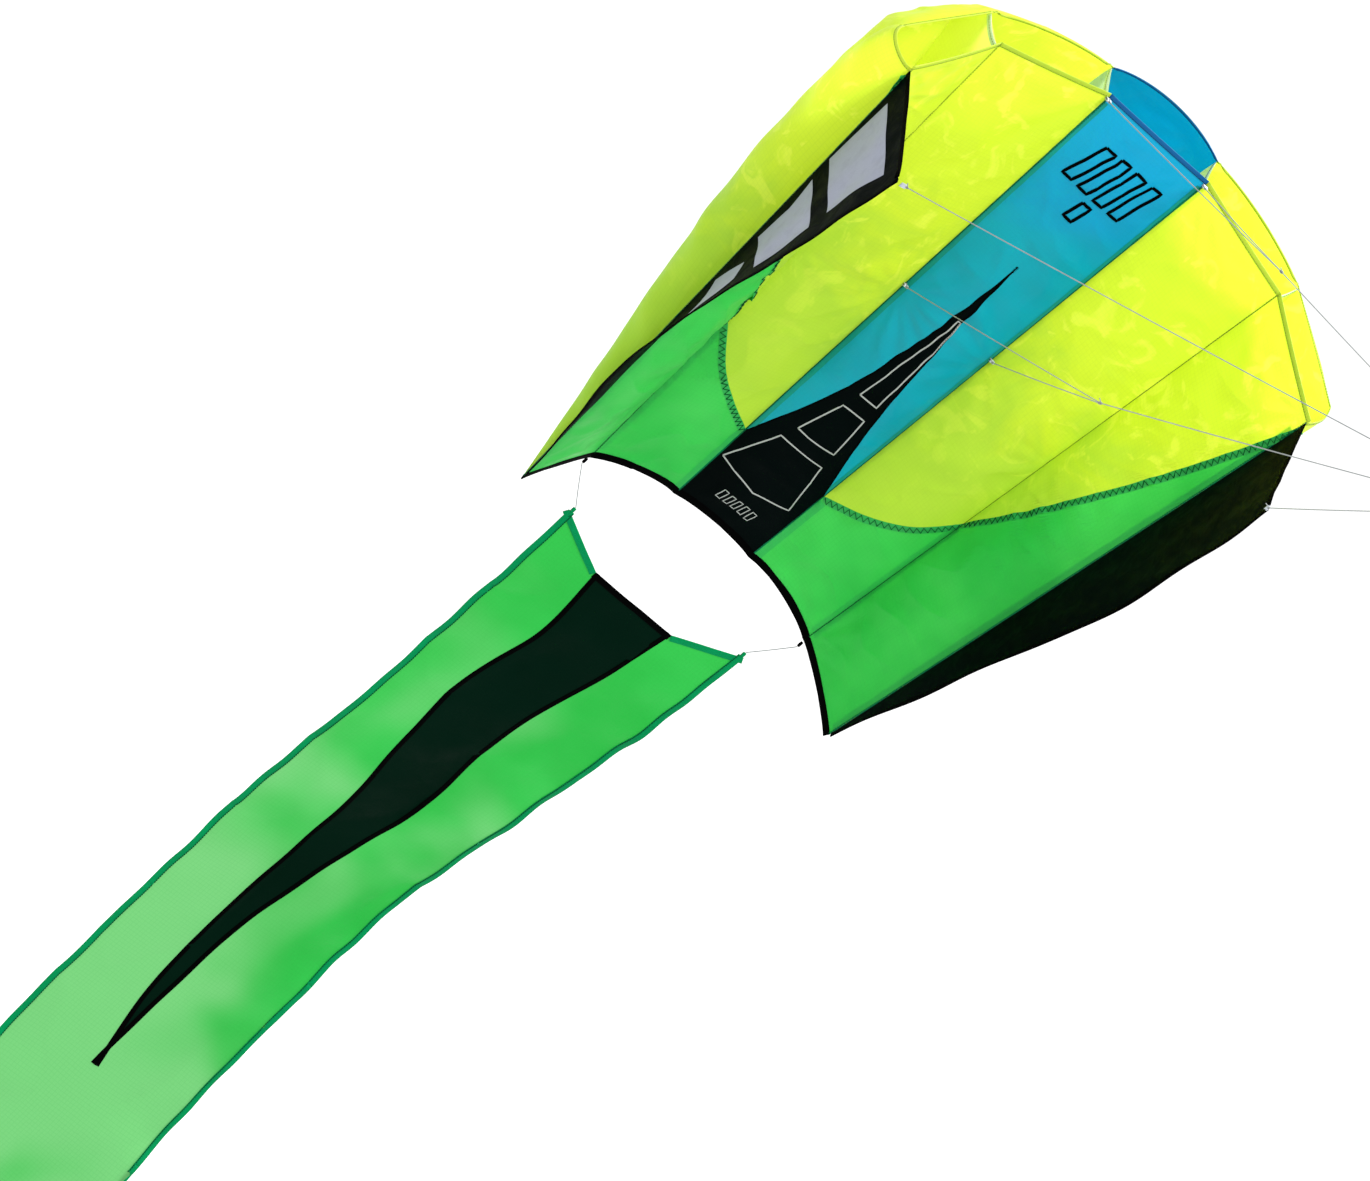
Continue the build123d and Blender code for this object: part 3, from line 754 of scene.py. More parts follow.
def make_ripples(waves, shortest, longest):
    """A smooth random function of one length in metres, about -1 to 1."""
    lengths = RANDOM.uniform(shortest, longest, waves)
    phases = RANDOM.uniform(0, 2 * pi, waves)

    def read(distance):
        angles = 2 * pi * np.asarray(distance)[..., None] / lengths + phases
        return np.sin(angles).sum(axis=-1) / waves ** 0.5
    return read


def make_folds(waves, shortest, longest):
    """A smooth random function of two lengths in metres, about -1 to 1."""
    lengths = RANDOM.uniform(shortest, longest, waves)
    headings = RANDOM.uniform(0, pi, waves)
    phases = RANDOM.uniform(0, 2 * pi, waves)

    def read(x, y):
        along = x[..., None] * np.cos(headings) + y[..., None] * np.sin(headings)
        return np.sin(2 * pi * along / lengths + phases).sum(axis=-1) / waves ** 0.5
    return read


# How deep each kind of relief in the cloth is, how far it reaches, and the share of the chord over which
# it fades in from both ends.
PUCKER = 0.7 * MM
PUCKER_REACH = 12 * MM
# How many waves the puckers are made of, and the shortest and the longest of them in metres.
PUCKER_WAVES = (7, 0.014, 0.045)
FOLD = 1.5 * MM
CREASE = 2.0 * MM
STAR = 1.2 * MM
STAR_REACH = 45 * MM
STAR_STATION = 0.47
RELIEF_FADE = 0.035
# How far a crease wanders, and its crest, its depth and the rounding of its bottom.
CREASE_BEND = 0.012
CREASE_CREST, CREASE_DROP, CREASE_ROUNDING = 0.6, 1.6, 0.02
# The length of chord that the relief is laid out on, and the shape of a blown panel across and along.
RELIEF_LENGTH = 0.7
DOME_SHAPE = 0.85
BOTTOM_RISE = 1.4
BOTTOM_TAPER, TOP_TAPER, WALL_TAPER, HOLLOW_TAPER = 5, 4, 6, 6


def dome(share):
    """0 at both edges of a panel and 1 in its middle, full like blown cloth."""
    share = np.clip(share, 0, 1)
    return (4 * share * (1 - share)) ** DOME_SHAPE


def bottom_fullness(chord):
    """How full a bottom panel blows at each chord: it is held at the lip and the trailing edge."""
    chord = np.clip(chord, 0, 1)
    risen = np.sin(pi * np.minimum(chord * BOTTOM_RISE, 1) / 2)
    return (LIP_BOW + (1 - LIP_BOW) * risen) * (1 - chord ** BOTTOM_TAPER)


def curl_shape(station):
    """0 at the upper lip, which its hem holds in, 1 just behind it, and falling back to 0."""
    back = np.clip(station, 0, 1) / CURL_STATION
    return back * np.exp(1 - back)


def rib_curl(rib, side, station):
    """How far a rib's top edge bulges just behind the upper lip."""
    return RIB_CURL.get((rib, side), 0) * curl_shape(station)


def cell_curl(cell, side, across, station):
    """How much further than its ribs the top skin bulges just behind the upper lip."""
    first, second = (RIB_CURL.get((rib, side), 0) for rib in CELL_RIBS[cell])
    at_ribs = first + (second - first) * across
    return (CELL_CURL[cell, side] - at_ribs) * dome(across) * curl_shape(station)


def make_skin(cell, side, edge, billow, fullness, facing, curl=False):
    """A blown surface between two ribs. edge(rib, side, chord) gives its edge lines, and facing is the
    sign of Y on its outer side."""
    pucker_first, pucker_second = make_ripples(*PUCKER_WAVES), make_ripples(*PUCKER_WAVES)
    folds = make_cloth_relief()
    (first, first_side), (second, second_side) = cell_ends(cell, side)

    def surface(across, along):
        across, along = np.broadcast_arrays(np.asarray(across, float), np.asarray(along, float))
        hollow = TRAILING_HOLLOW[cell] / CHORD_LENGTH
        along = along - hollow * dome(across) * np.clip(along, 0, 1) ** HOLLOW_TAPER
        start = edge(first, first_side, along)
        finish = edge(second, second_side, along)
        span = finish - start
        width = np.linalg.norm(span, axis=-1)
        nudge = 1e-3
        chordwise = (edge(first, first_side, along + nudge) - edge(first, first_side, along - nudge)
                     + edge(second, second_side, along + nudge) - edge(second, second_side, along - nudge))
        normal = unit(np.cross(span, chordwise))
        normal = np.where(normal[..., 1:2] * facing < 0, -normal, normal)
        length = along * RELIEF_LENGTH
        from_first, from_second = across * width, (1 - across) * width
        near = np.exp(-from_first / PUCKER_REACH) * pucker_first(length) * np.tanh(from_first / 3e-3)
        far = np.exp(-from_second / PUCKER_REACH) * pucker_second(length) * np.tanh(from_second / 3e-3)
        held = dome(across)
        free = np.clip(np.minimum(along, 1 - along) / RELIEF_FADE, 0, 1)
        free = free * free * (3 - 2 * free)
        out = (billow * held * fullness(along)
               + free * (PUCKER * (near + far) + FOLD * folds(across * width, length) * held))
        if curl:
            start = start + rib_way(first, first_side) * column(rib_curl(first, first_side, along))
            finish = finish + rib_way(second, second_side) * column(rib_curl(second, second_side, along))
            out = out + cell_curl(cell, side, across, along)
        return start + (finish - start) * across[..., None] + normal * out[..., None]
    return surface


def make_creases(waves, shortest, longest):
    """Sharp random creases with smooth cloth between them, about -1 to 1."""
    bend, base = make_folds(6, 0.08, 0.3), make_folds(waves, shortest, longest)

    def read(x, y):
        shift = CREASE_BEND * bend(x, y)
        fold = np.sqrt(np.abs(base(x + shift, y - shift)) + CREASE_ROUNDING)
        return CREASE_CREST - CREASE_DROP * fold
    return read


def make_star(x, y, folds):
    """Folds that fan out from a point where the cloth is pulled."""
    turn = RANDOM.uniform(0, 2 * pi)

    def read(across, down):
        dx, dy = across - x, down - y
        reach = np.hypot(dx, dy) / STAR_REACH
        return reach * np.exp(1 - reach) * np.sin(folds * np.arctan2(dy, dx) + turn)
    return read


def make_cloth_relief(width=0.15, length=0.71):
    """Soft folds, sharp creases and pulled corners over a panel of about this size."""
    folds, creases = make_folds(10, 0.04, 0.18), make_creases(5, 0.05, 0.14)
    stars = [make_star(x, y, RANDOM.integers(9, 17))
             for x in (0, width) for y in (0, length * STAR_STATION, length)]

    def read(x, y):
        return (FOLD * folds(x, y) + CREASE * creases(x, y)
                + STAR * sum(star(x, y) for star in stars)) / FOLD
    return read


def top_fullness(lip):
    """How full a top panel blows at each station, from its share at the lip."""
    def read(station):
        station = np.clip(station, 0, 1)
        risen = np.sin(pi * np.minimum(station / TOP_FULL_STATION, 1) / 2)
        return (lip + (1 - lip) * risen) * (1 - station ** TOP_TAPER)
    return read


CELLS = [("middle", 1)] + [(cell, side) for cell in ("inner", "outer") for side in (-1, 1)]
BOTTOM = {(cell, side): make_skin(cell, side, rib_point, BOTTOM_BILLOW[cell], bottom_fullness, -1)
          for cell, side in CELLS}
TOP = {(cell, side): make_skin(cell, side, top_point, TOP_BILLOW[cell], top_fullness(TOP_LIP_SHARE[cell]),
                               1, curl=True) for cell, side in CELLS}
SIDE_WORD = {side: word for word, side in SIDES.items()}
BOTTOM_ROWS, BOTTOM_COLUMNS = 150, 36


def name_of(cell, side, stem):
    return stem if cell == "middle" else f"{stem}_{SIDE_WORD[side]}"


def width_of(surface, along):
    """The width of a cell's surface at each share of the chord, in metres."""
    first, second = surface(np.zeros_like(along), along), surface(np.ones_like(along), along)
    return np.linalg.norm(second - first, axis=-1)


def cut_of(surface, across, along):
    """Where each point of a canopy panel lies on its flat cut, in metres."""
    width = width_of(surface, along)
    return np.stack(((across - 0.5) * width, along * CHORD_LENGTH), axis=-1)


def declare_sheet(piece):
    """Return a sheet unchanged; nothing about its flat cut or its area is declared."""
    return piece


def make_panel(name, surface, across, along, look, node):
    """A panel of the canopy from grids of its surface's two shares."""
    uvs = cut_of(surface, across, along)
    piece = attach(add_cloth(name, surface(across, along), look, uvs), "canopy", [node])
    return declare_sheet(piece)


def share_grid(rows, columns):
    return np.meshgrid(np.linspace(0, 1, columns + 1), np.linspace(0, 1, rows + 1))


def make_side_bottoms():
    for cell, seam in (("inner", SEAM_INNER), ("outer", SEAM_OUTER)):
        seam_chord = smooth_through(seam)
        for word, side in SIDES.items():
            across, down = share_grid(BOTTOM_ROWS, BOTTOM_COLUMNS)
            seam = seam_chord(across)
            make_panel(f"cloth_bottom_{cell}_{word}", BOTTOM[cell, side], across, down * seam, "yellow",
                       f"bottom_{cell}_panel_{word}")
            make_panel(f"cloth_bottom_{cell}_rear_{word}", BOTTOM[cell, side], across,
                       seam + down * (1 - seam), "green", f"bottom_{cell}_rear_panel_{word}")


def middle_half(chord):
    """Half the width of the middle cell at each chord."""
    return rib_point("inner", 1, chord)[..., 0]


def chord_of(below):
    """The chord in the middle cell at a height below the nose."""
    return below / (CHORD_MEETING[2] * CHORD_SHARE)


def spike_half(chord):
    below = chord * CHORD_MEETING[2] * CHORD_SHARE
    width = smooth_through(SPIKE_HALF)(below)
    return np.where(below < SPIKE_HALF[0][0], middle_half(chord), np.maximum(width, 0))


def make_middle_bottoms():
    surface = BOTTOM["middle", 1]
    start, corner = chord_of(SPIKE_HALF[-1][0]), chord_of(SPIKE_HALF[0][0])
    share, down = share_grid(BOTTOM_ROWS, BOTTOM_COLUMNS // 2)
    chord = down * corner
    width = 0.5 - 0.5 * spike_half(chord) / middle_half(chord)
    left, right = share * width, 1 - share * width
    rows, columns = share.shape
    uvs = np.concatenate([cut_of(surface, half, chord).reshape(-1, 2) for half in (left, right)])
    points = np.concatenate([surface(half, chord).reshape(-1, 3) for half in (left, right)])
    faces = quads(rows, columns)
    faces += [tuple(rows * columns + corner for corner in face[::-1]) for face in faces]
    piece = add_piece("cloth_bottom_middle", points, faces, "blue", uvs)
    weld(piece)
    attach(piece, "canopy", ["bottom_middle_panel"])
    declare_sheet(piece)
    across, down = share_grid(90, 24)
    chord = start + down * (1 - start)
    half = spike_half(chord) / middle_half(chord) / 2
    make_panel("cloth_bottom_spike", surface, 0.5 + (across - 0.5) * 2 * half, chord, "black",
               "bottom_spike_panel")


# Above 1, this crowds the rows of a top panel towards its lip, where it curls.
LIP_CROWDING = 1.5


def make_tops():
    across, down = share_grid(110, 36)
    for cell, side in CELLS:
        node = name_of(cell, side, f"top_{cell}_panel")
        look = "blue" if cell == "middle" else "yellow"
        make_panel(f"cloth_{node}", TOP[cell, side], across, down ** LIP_CROWDING, look, node)


# The wall height at which a side wall blows out by its whole billow.
WALL_HEIGHT = 90 * MM


def wall_surface(side):
    pucker, folds = make_ripples(*PUCKER_WAVES), make_folds(10, 0.03, 0.14)

    def surface(across, along):
        """across runs from the bottom edge to the top edge."""
        across, along = np.broadcast_arrays(np.asarray(across, float), np.asarray(along, float))
        height = top_height("outer", along)
        low = rib_point("outer", side, along, -CLOTH / 2)
        high = top_point("outer", side, along, rib_curl("outer", side, along))
        flat = low + (high - low) * across[..., None]
        full = WALL_BILLOW[side] * (height / WALL_HEIGHT) * (1 - along ** WALL_TAPER)
        length = along * RELIEF_LENGTH
        out = dome(across) * (full + FOLD * folds(across * height, length))
        out = out + PUCKER * pucker(length) * np.exp(-across * height / PUCKER_REACH) * dome(across)
        return flat + rib_face("outer", side) * out[..., None]
    return surface


WALL = {side: wall_surface(side) for side in (-1, 1)}


def make_side_walls():
    across, down = share_grid(120, 24)
    for word, side in SIDES.items():
        make_panel(f"cloth_side_wall_{word}", WALL[side], across, down, "yellow", f"side_wall_{word}")


# The chord at the front edge of the ribs and fins, and the share of the chord that the ribs fill.
FRONT_CHORD = 0.004
RIB_REACH = 0.926


def make_ribs():
    across, down = share_grid(80, 12)
    for rib in ("inner", "middle"):
        for word, side in SIDES.items():
            station = FRONT_CHORD + down * RIB_REACH
            height = top_height(rib, station) + rib_curl(rib, side, station)
            points = rib_point(rib, side, station - LIP_LEAD * across * (1 - station), height * across)
            uvs = np.stack((height * across, station * CHORD_LENGTH), axis=-1)
            piece = add_cloth(f"cloth_rib_{rib}_{word}", points, "pale" if rib == "inner" else "cream", uvs)
            attach(piece, "canopy", [f"rib_{rib}_{word}"])
            declare_sheet(piece)


FIN_FOLD = 2.0 * MM


def fin_surface(side):
    flare = smooth_through(FIN_FLARE[side])
    edge = smooth_through(FIN_EDGE)
    folds = make_folds(8, 0.04, 0.16)

    def surface(across, along):
        """across runs from the seam to the free edge."""
        across, along = np.broadcast_arrays(np.asarray(across, float), np.asarray(along, float))
        depth = edge(np.maximum(along, FIN_EDGE[0][0])) * across
        lean = FIN_LEAN - flare(along) * across ** 0.5
        flat = rib_point("outer", side, along, depth - CLOTH, lean)
        normal = np.array((side, 0.0, 0.0))
        ripple = FIN_FOLD * folds(depth, along * RELIEF_LENGTH) * across
        return flat + normal * ripple[..., None]
    return surface


FIN = {side: fin_surface(side) for side in (-1, 1)}


def fin_front(across):
    """The chord of the fin's front edge at each share of its depth."""
    return FRONT_CHORD + (FIN_EDGE[0][0] - FRONT_CHORD) * across


def fin_grid(rows, columns):
    """Shares that fill the fin: its front edge runs slantwise from the nose to the tip."""
    across, down = share_grid(rows, columns)
    front = fin_front(across)
    return across, front + down * (FIN_EDGE[-1][0] - front)


def make_fins():
    across, chord = fin_grid(120, 30)
    for word, side in SIDES.items():
        make_panel(f"cloth_fin_{word}", FIN[side], across, chord, "black", f"fin_{word}")


# ---- Tail ---------------------------------------------------------------------------------------

TAIL_FOLD = 1.6 * MM
TAIL_CREASE = 3.2 * MM
TAIL_FLUTTER = 3.0 * MM
# The length below the tail's front edge over which its relief fades in.
TAIL_FREE_LENGTH = 0.1

tail_ripple = smooth_through(TAIL_RIPPLE)
tail_twist = smooth_through(TAIL_TWIST)
flame_left = smooth_through(FLAME_LEFT)
flame_right = smooth_through(FLAME_RIGHT)
tail_folds = make_folds(14, 0.05, 0.22)
tail_edge_ripples = {side: make_ripples(6, 0.06, 0.2) for side in (-1, 1)}
tail_creases = make_creases(5, 0.14, 0.45)


def tail_half(z):
    share = (TAIL_CORNER_Z - z) / (TAIL_CORNER_Z - TAIL_REAR_CORNER_Z)
    return TAIL_FRONT_HALF + (TAIL_REAR_HALF - TAIL_FRONT_HALF) * np.clip(share, 0, 1)


def tail_surface(x, z):
    """Where the point of the flat tail at (x, z) lies, with z below the nose."""
    x, z = np.broadcast_arrays(np.asarray(x, float), np.asarray(z, float))
    twist = np.radians(tail_twist(z))
    edge = np.abs(x) / tail_half(z)
    flutter = edge ** 3 * np.where(x > 0, tail_edge_ripples[1](z), tail_edge_ripples[-1](z))
    free = np.clip((TAIL_CORNER_Z - z) / TAIL_FREE_LENGTH, 0, 1)
    relief = TAIL_FOLD * tail_folds(x, z) + TAIL_CREASE * tail_creases(x, z) + TAIL_FLUTTER * flutter
    out = tail_ripple(z) + x * np.sin(twist) + free * relief
    return NOSE + np.stack((x * np.cos(twist), TAIL_Y + out, z), axis=-1)


TAIL_CUTS = (-0.960, -1.260, -1.560, -1.860)
# The name of each stretch, its body, the body of the stretch below it whose CAD nodes it also stands for,
# and its upper and lower ends.
TAIL_STRETCHES = (
    ("head", "tail_head", None, None, TAIL_CUTS[0]),
    ("head_front", "tail_head", "tail_front", TAIL_CUTS[0], TAIL_CUTS[1]),
    ("front_rear", "tail_front", "tail_rear", TAIL_CUTS[1], TAIL_CUTS[2]),
    ("rear_tip", "tail_rear", "tail_tip", TAIL_CUTS[2], TAIL_CUTS[3]),
    ("tip", "tail_tip", None, TAIL_CUTS[3], None),
)


def tail_top(x):
    inner = RIB_CORNER["inner"][0] * (1 - CHORD_SHARE)
    share = np.clip((np.abs(x) - inner) / (TAIL_FRONT_HALF - inner), 0, 1)
    return TAIL_MIDDLE_Z + (TAIL_CORNER_Z - TAIL_MIDDLE_Z) * share


def tail_low(x):
    share = np.clip(1 - np.abs(x) / TAIL_REAR_HALF, 0, 1)
    return TAIL_REAR_CORNER_Z + (TAIL_END_Z - TAIL_REAR_CORNER_Z) * share


def tail_attach(piece, stretch):
    """Ride the first or the last stretch of the tail on its body; the others only have their transform
    baked in.
    """
    _, first, second, top, low = stretch
    if second is None:
        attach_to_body(piece, first)
    else:
        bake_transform(piece)


def panel_nodes(stretch, part, word=None):
    """The CAD nodes that a tail piece stands for."""
    nodes = []
    for body in filter(None, stretch[1:3]):
        stem = f"{body}_{part}"
        if part == "panel" and body != "tail_tip":
            stem = f"{stem}_{word}"
        nodes.append(stem)
    return nodes


def tail_flame_edge(side, z):
    return flame_left(z) if side < 0 else flame_right(z)


def add_tail_sheet(name, x_edges, stretch, look, nodes, rows=60, columns=20):
    """One stretch of tail cloth between two edge lines, x_edges(z) giving both."""
    _, _, _, top, low = stretch
    share, down = share_grid(rows, columns)
    upper = TAIL_CORNER_Z if top is None else top
    lower = TAIL_END_Z if low is None else low
    rough_z = upper + (lower - upper) * down
    left, right = x_edges(rough_z)
    x = left + (right - left) * share
    if top is None:
        z = tail_top(x) + (low - tail_top(x)) * down
    elif low is None:
        z = top + (tail_low(x) - top) * down
    else:
        z = rough_z
    left, right = x_edges(z)
    x = left + (right - left) * share
    uvs = np.stack((x, z), axis=2)
    piece = attach(add_cloth(name, tail_surface(x, z), look, uvs), stretch, nodes)
    return declare_sheet(piece)


def make_tail():
    for stretch in TAIL_STRETCHES:
        name = stretch[0]
        for word, side in SIDES.items():
            def edges(z, side=side):
                inner, outer = tail_flame_edge(side, z), side * tail_half(z)
                return (outer, inner) if side < 0 else (inner, outer)
            add_tail_sheet(f"cloth_tail_{name}_{word}", edges, stretch, "tail_green",
                           panel_nodes(stretch, "panel", word))
        if stretch[3] is None or stretch[3] > FLAME_LEFT[0][0]:
            add_tail_sheet(f"cloth_tail_{name}_flame", lambda z: (flame_left(z), flame_right(z)), stretch,
                           "tail_black", panel_nodes(stretch, "flame"), columns=12)


# ---- Hems and bindings --------------------------------------------------------------------------

HEM_THICKNESS = 1.2 * MM
BINDING_THICKNESS = 1.8 * MM
BINDING_LAP = 2 * MM
BAND_STEPS = 36
CELL_ORDER = (("outer", -1), ("inner", -1), ("middle", 1), ("inner", 1), ("outer", 1))


def span_shares(cell, side, steps=BAND_STEPS):
    """Shares across a cell from its left rib to its right rib."""
    shares = np.linspace(0, 1, steps + 1)
    return shares[::-1] if cell != "middle" and side < 0 else shares


def span_run(surfaces, along, outward, way):
    """A run across the whole kite at one share of the chord."""
    runs = [on_surface(surfaces[cell, side], span_shares(cell, side), along, outward)
            for cell, side in CELL_ORDER]
    return pointing(joined(runs), way)


def add_tape(name, run, near, far, thickness, look, nodes=(), holder="canopy", lift=0.0):
    path, sideways, normal = run
    piece = add_swept(name, path, sideways, normal, tape_section(near, far, thickness, lift), look)
    return attach(piece, holder, nodes)


def make_lip_hems():
    """The folded hems round the air intakes, each in its own panel's colour, with a row of stitches."""
    up = (0, 0, 1)
    for cell, side in CELL_ORDER:
        middle = cell == "middle"
        look, thread = ("blue_double", "thread_navy") if middle else ("yellow_tape", "thread_olive")
        for lip, surfaces, outward, near, width, node in (
                ("lower", BOTTOM, (0, -1, 0), -0.5 * MM, HEM_WIDTH, "lower_lip_hem"),
                ("upper", TOP, (0, 1, 0), -UPPER_HEM_WIDTH, UPPER_HEM_WIDTH, "upper_lip_hem")):
            run = pointing(on_surface(surfaces[cell, side], span_shares(cell, side), 0.0, outward), up)
            name = name_of(cell, side, f"{lip}_lip_{cell}")
            add_tape(f"tape_{name}", run, near, near + width, HEM_THICKNESS, look, [node])
            for face, lift in (("out", 0.5 * MM), ("in", -0.5 * MM)):
                add_stitches(f"stitch_{name}_{face}", lifted(run, lift), thread, near + 0.8 * MM, lift / 2)


def make_trailing_binding():
    """The tape along the trailing edge. It laps the cloth a little and stands out below it."""
    path, sideways, normal = span_run(BOTTOM, 1.0, (0, -1, 0), (0, 0, -1))
    run = (path + (0, 0.4 * MM, 0), sideways, normal)
    add_tape("tape_trailing_edge", run, -BINDING_LAP, BINDING_WIDTH - BINDING_LAP, BINDING_THICKNESS,
             "black_tape", ["trailing_edge_binding"])


RIB_TAPE_WIDTH = 6 * MM
RIB_FRONT_BOW = 3 * MM


def make_intake_edges():
    """Pale tapes down the front of each rib and hems down the front of each side wall."""
    share = np.linspace(0, 1, 17)
    for word, side in SIDES.items():
        for rib in ("inner", "middle"):
            low = rib_point(rib, side, FRONT_CHORD, 1 * MM)
            high = top_point(rib, side, FRONT_CHORD, -1 * MM)
            bow = column(RIB_FRONT_BOW * np.sin(pi * share)) * np.array((0, 0, -1.0))
            path = low + (high - low) * column(share) + bow
            across = np.broadcast_to(rib_face(rib, side), path.shape)
            ahead = unit(np.gradient(path, axis=0))
            run = pointing((path, unit(np.cross(across, ahead)), across), (0, 0, -1))
            add_tape(f"tape_rib_{rib}_{word}", run, -0.5 * MM, RIB_TAPE_WIDTH, HEM_THICKNESS, "pale_tape")
            for face, lift in (("out", 0.8 * MM), ("in", -0.8 * MM)):
                add_stitches(f"stitch_rib_{rib}_{face}_{word}", lifted(run, lift), "thread_olive",
                             2.5 * MM, lift=0.0)
        run = pointing(on_surface(WALL[side], share, 0.0, (side, 0, 0)), (0, 0, -1))
        add_tape(f"tape_wall_{word}", run, -0.5 * MM, 4 * MM, HEM_THICKNESS, "yellow_tape")
        add_stitches(f"stitch_wall_{word}", lifted(run, 0.7 * MM), "thread_olive", 3.2 * MM, lift=0.0)


def fin_run(side, across, chord):
    return on_surface(FIN[side], across, chord, (side, 0, 0))


def make_fin_bindings():
    edge = np.linspace(0, 1, 90)
    for word, side in SIDES.items():
        front = fin_run(side, edge[::6], fin_front(edge[::6]))
        free = fin_run(side, 1.0, FIN_EDGE[0][0] + (FIN_EDGE[-1][0] - FIN_EDGE[0][0]) * edge)
        for name, run in (("front", pointing(front, (0, 0, -1))), ("edge", pointing(free, (0, 1, 0)))):
            add_tape(f"tape_fin_{name}_{word}", run, -1 * MM, 6 * MM, BINDING_THICKNESS, "black_tape",
                     [f"fin_binding_{word}"])


# ---- Seams and stitching ------------------------------------------------------------------------

STITCH = 2.6 * MM
STITCH_PITCH = 3.3 * MM
STITCH_LIFT = 0.35 * MM
STITCH_RADIUS = 0.28 * MM
ZIGZAG_PITCH = 8.2 * MM
ZIGZAG_HALF = 3.5 * MM
ZIGZAG_THREAD = 0.58 * MM
ZIGZAG_ASIDE = 4.6 * MM
ZIGZAG_LIFT = 0.45 * MM
SEAM_OVERLAP = 9.0 * MM


def evenly(path, pitch):
    """Positions along a path of points, as fractional indices a pitch apart."""
    steps = np.linalg.norm(np.diff(path, axis=0), axis=1)
    distance = np.concatenate(([0], np.cumsum(steps)))
    wanted = np.arange(pitch / 2, distance[-1] - pitch / 2, pitch)
    return np.interp(wanted, distance, np.arange(len(path)))


def at_index(values, index):
    """Values between the points of a run, read at fractional indices."""
    low = np.clip(index.astype(int), 0, len(values) - 2)
    share = column(index - low)
    return values[low] * (1 - share) + values[low + 1] * share


def add_stitches(name, run, look, aside=0.0, lift=STITCH_LIFT, radius=STITCH_RADIUS, holder="canopy"):
    """A row of straight stitches, each a short rounded thread that dips in at both ends."""
    path, sideways, normal = run
    ahead = unit(np.gradient(path, axis=0))
    index = evenly(path, STITCH_PITCH)
    centre = at_index(path + sideways * aside + normal * lift, index)
    forward, up, beside = (at_index(v, index) for v in (ahead, normal, sideways))
    rings = ((-0.5, -0.6, 0.6), (-0.3, 0.3, 1.0), (0.3, 0.3, 1.0), (0.5, -0.6, 0.6))
    vertices, faces = [], []
    for c, f, u, b in zip(centre, forward, up, beside):
        base = len(vertices)
        for share, rise, swell in rings:
            for turn in range(4):
                angle = pi * turn / 2 + pi / 4
                vertices.append(c + f * share * STITCH + u * (rise * radius + swell * radius * sin(angle))
                                + b * swell * radius * cos(angle))
        for ring in range(len(rings) - 1):
            for turn in range(4):
                a, n = base + 4 * ring + turn, base + 4 * ring + (turn + 1) % 4
                faces.append((a, n, n + 4, a + 4))
        faces += [(base + 3, base + 2, base + 1, base), tuple(range(base + 12, base + 16))]
    return attach(add_piece(name, vertices, faces, look), holder)


def add_zigzag(name, run, look):
    """A zigzag row of thread beside a run."""
    path, sideways, normal = run
    index = evenly(path, ZIGZAG_PITCH / 2)
    swing = np.where(np.arange(len(index)) % 2, ZIGZAG_HALF, -ZIGZAG_HALF) + ZIGZAG_ASIDE
    corners = at_index(path + normal * ZIGZAG_LIFT, index) + at_index(sideways, index) * swing[:, None]
    up = at_index(normal, index)
    ahead = unit(np.gradient(corners, axis=0))
    beside = unit(np.cross(up, ahead))
    thread = round_section(ZIGZAG_THREAD, 5)
    return attach(add_swept(name, corners, beside, np.cross(ahead, beside), thread, look), "canopy")


def chord_steps(start, finish, steps=110):
    return np.linspace(start, finish, steps + 1)


def lifted(run, height):
    path, sideways, normal = run
    return path + normal * height, sideways, normal


def make_rib_seams():
    """The rolled seams on the bottom skin where the ribs are sewn in, each with a row of stitches."""
    flyer = (0, -1, 0)
    middle_meets = SEAM_INNER[-1][1]
    for word, side in SIDES.items():
        share = 1.0 if side > 0 else 0.0
        toward_middle = (-side, 0, 0)
        run = pointing(on_surface(BOTTOM["middle", 1], share, chord_steps(0, 1), flyer), toward_middle)
        add_tape(f"seam_inner_{word}", run, -0.8 * MM, 1.5 * MM, 0.9 * MM, "seam_green")
        add_stitches(f"stitch_inner_{word}", lifted(run, 0.3 * MM), "thread_green", 1.7 * MM)
        for name, start, finish, look in (("yellow", 0, middle_meets, "thread_olive"),
                                          ("green", middle_meets, 1, "thread_green")):
            run = pointing(on_surface(BOTTOM["inner", side], 1.0, chord_steps(start, finish), flyer),
                           toward_middle)
            add_tape(f"seam_middle_{name}_{word}", run, -0.4 * MM, 0.4 * MM, 0.7 * MM, look)
            add_stitches(f"stitch_middle_{name}_{word}", lifted(run, 0.1 * MM), look, 0.9 * MM)
        run = pointing(on_surface(BOTTOM["outer", side], 1.0, chord_steps(0, 1), flyer), toward_middle)
        add_tape(f"seam_outer_{word}", run, -0.6 * MM, 1.1 * MM, 0.9 * MM, "seam_green")
        add_stitches(f"stitch_outer_{word}", lifted(run, 0.3 * MM), "thread_green", 1.4 * MM)


def make_curved_seams():
    """The overlapped seam between yellow and green cloth, with a zigzag row in the green. The overlap is a
    darker green strip on the flyer's face: the real second layer, darkened with painted shade for less
    backlight through two layers.
    """
    shares = np.linspace(0, 1, 121)
    for cell, seam in (("inner", SEAM_INNER), ("outer", SEAM_OUTER)):
        chord = smooth_through(seam)(shares)
        for word, side in SIDES.items():
            run = pointing(on_surface(BOTTOM[cell, side], shares, chord, (0, -1, 0)), (0, 0, -1))
            add_tape(f"seam_curve_{cell}_{word}", run, 0.0, SEAM_OVERLAP, 0.35 * MM, "green_overlap_painted_shade",
                     lift=0.15 * MM)
            add_zigzag(f"zigzag_{cell}_{word}", lifted(run, 0.3 * MM), "thread_green")


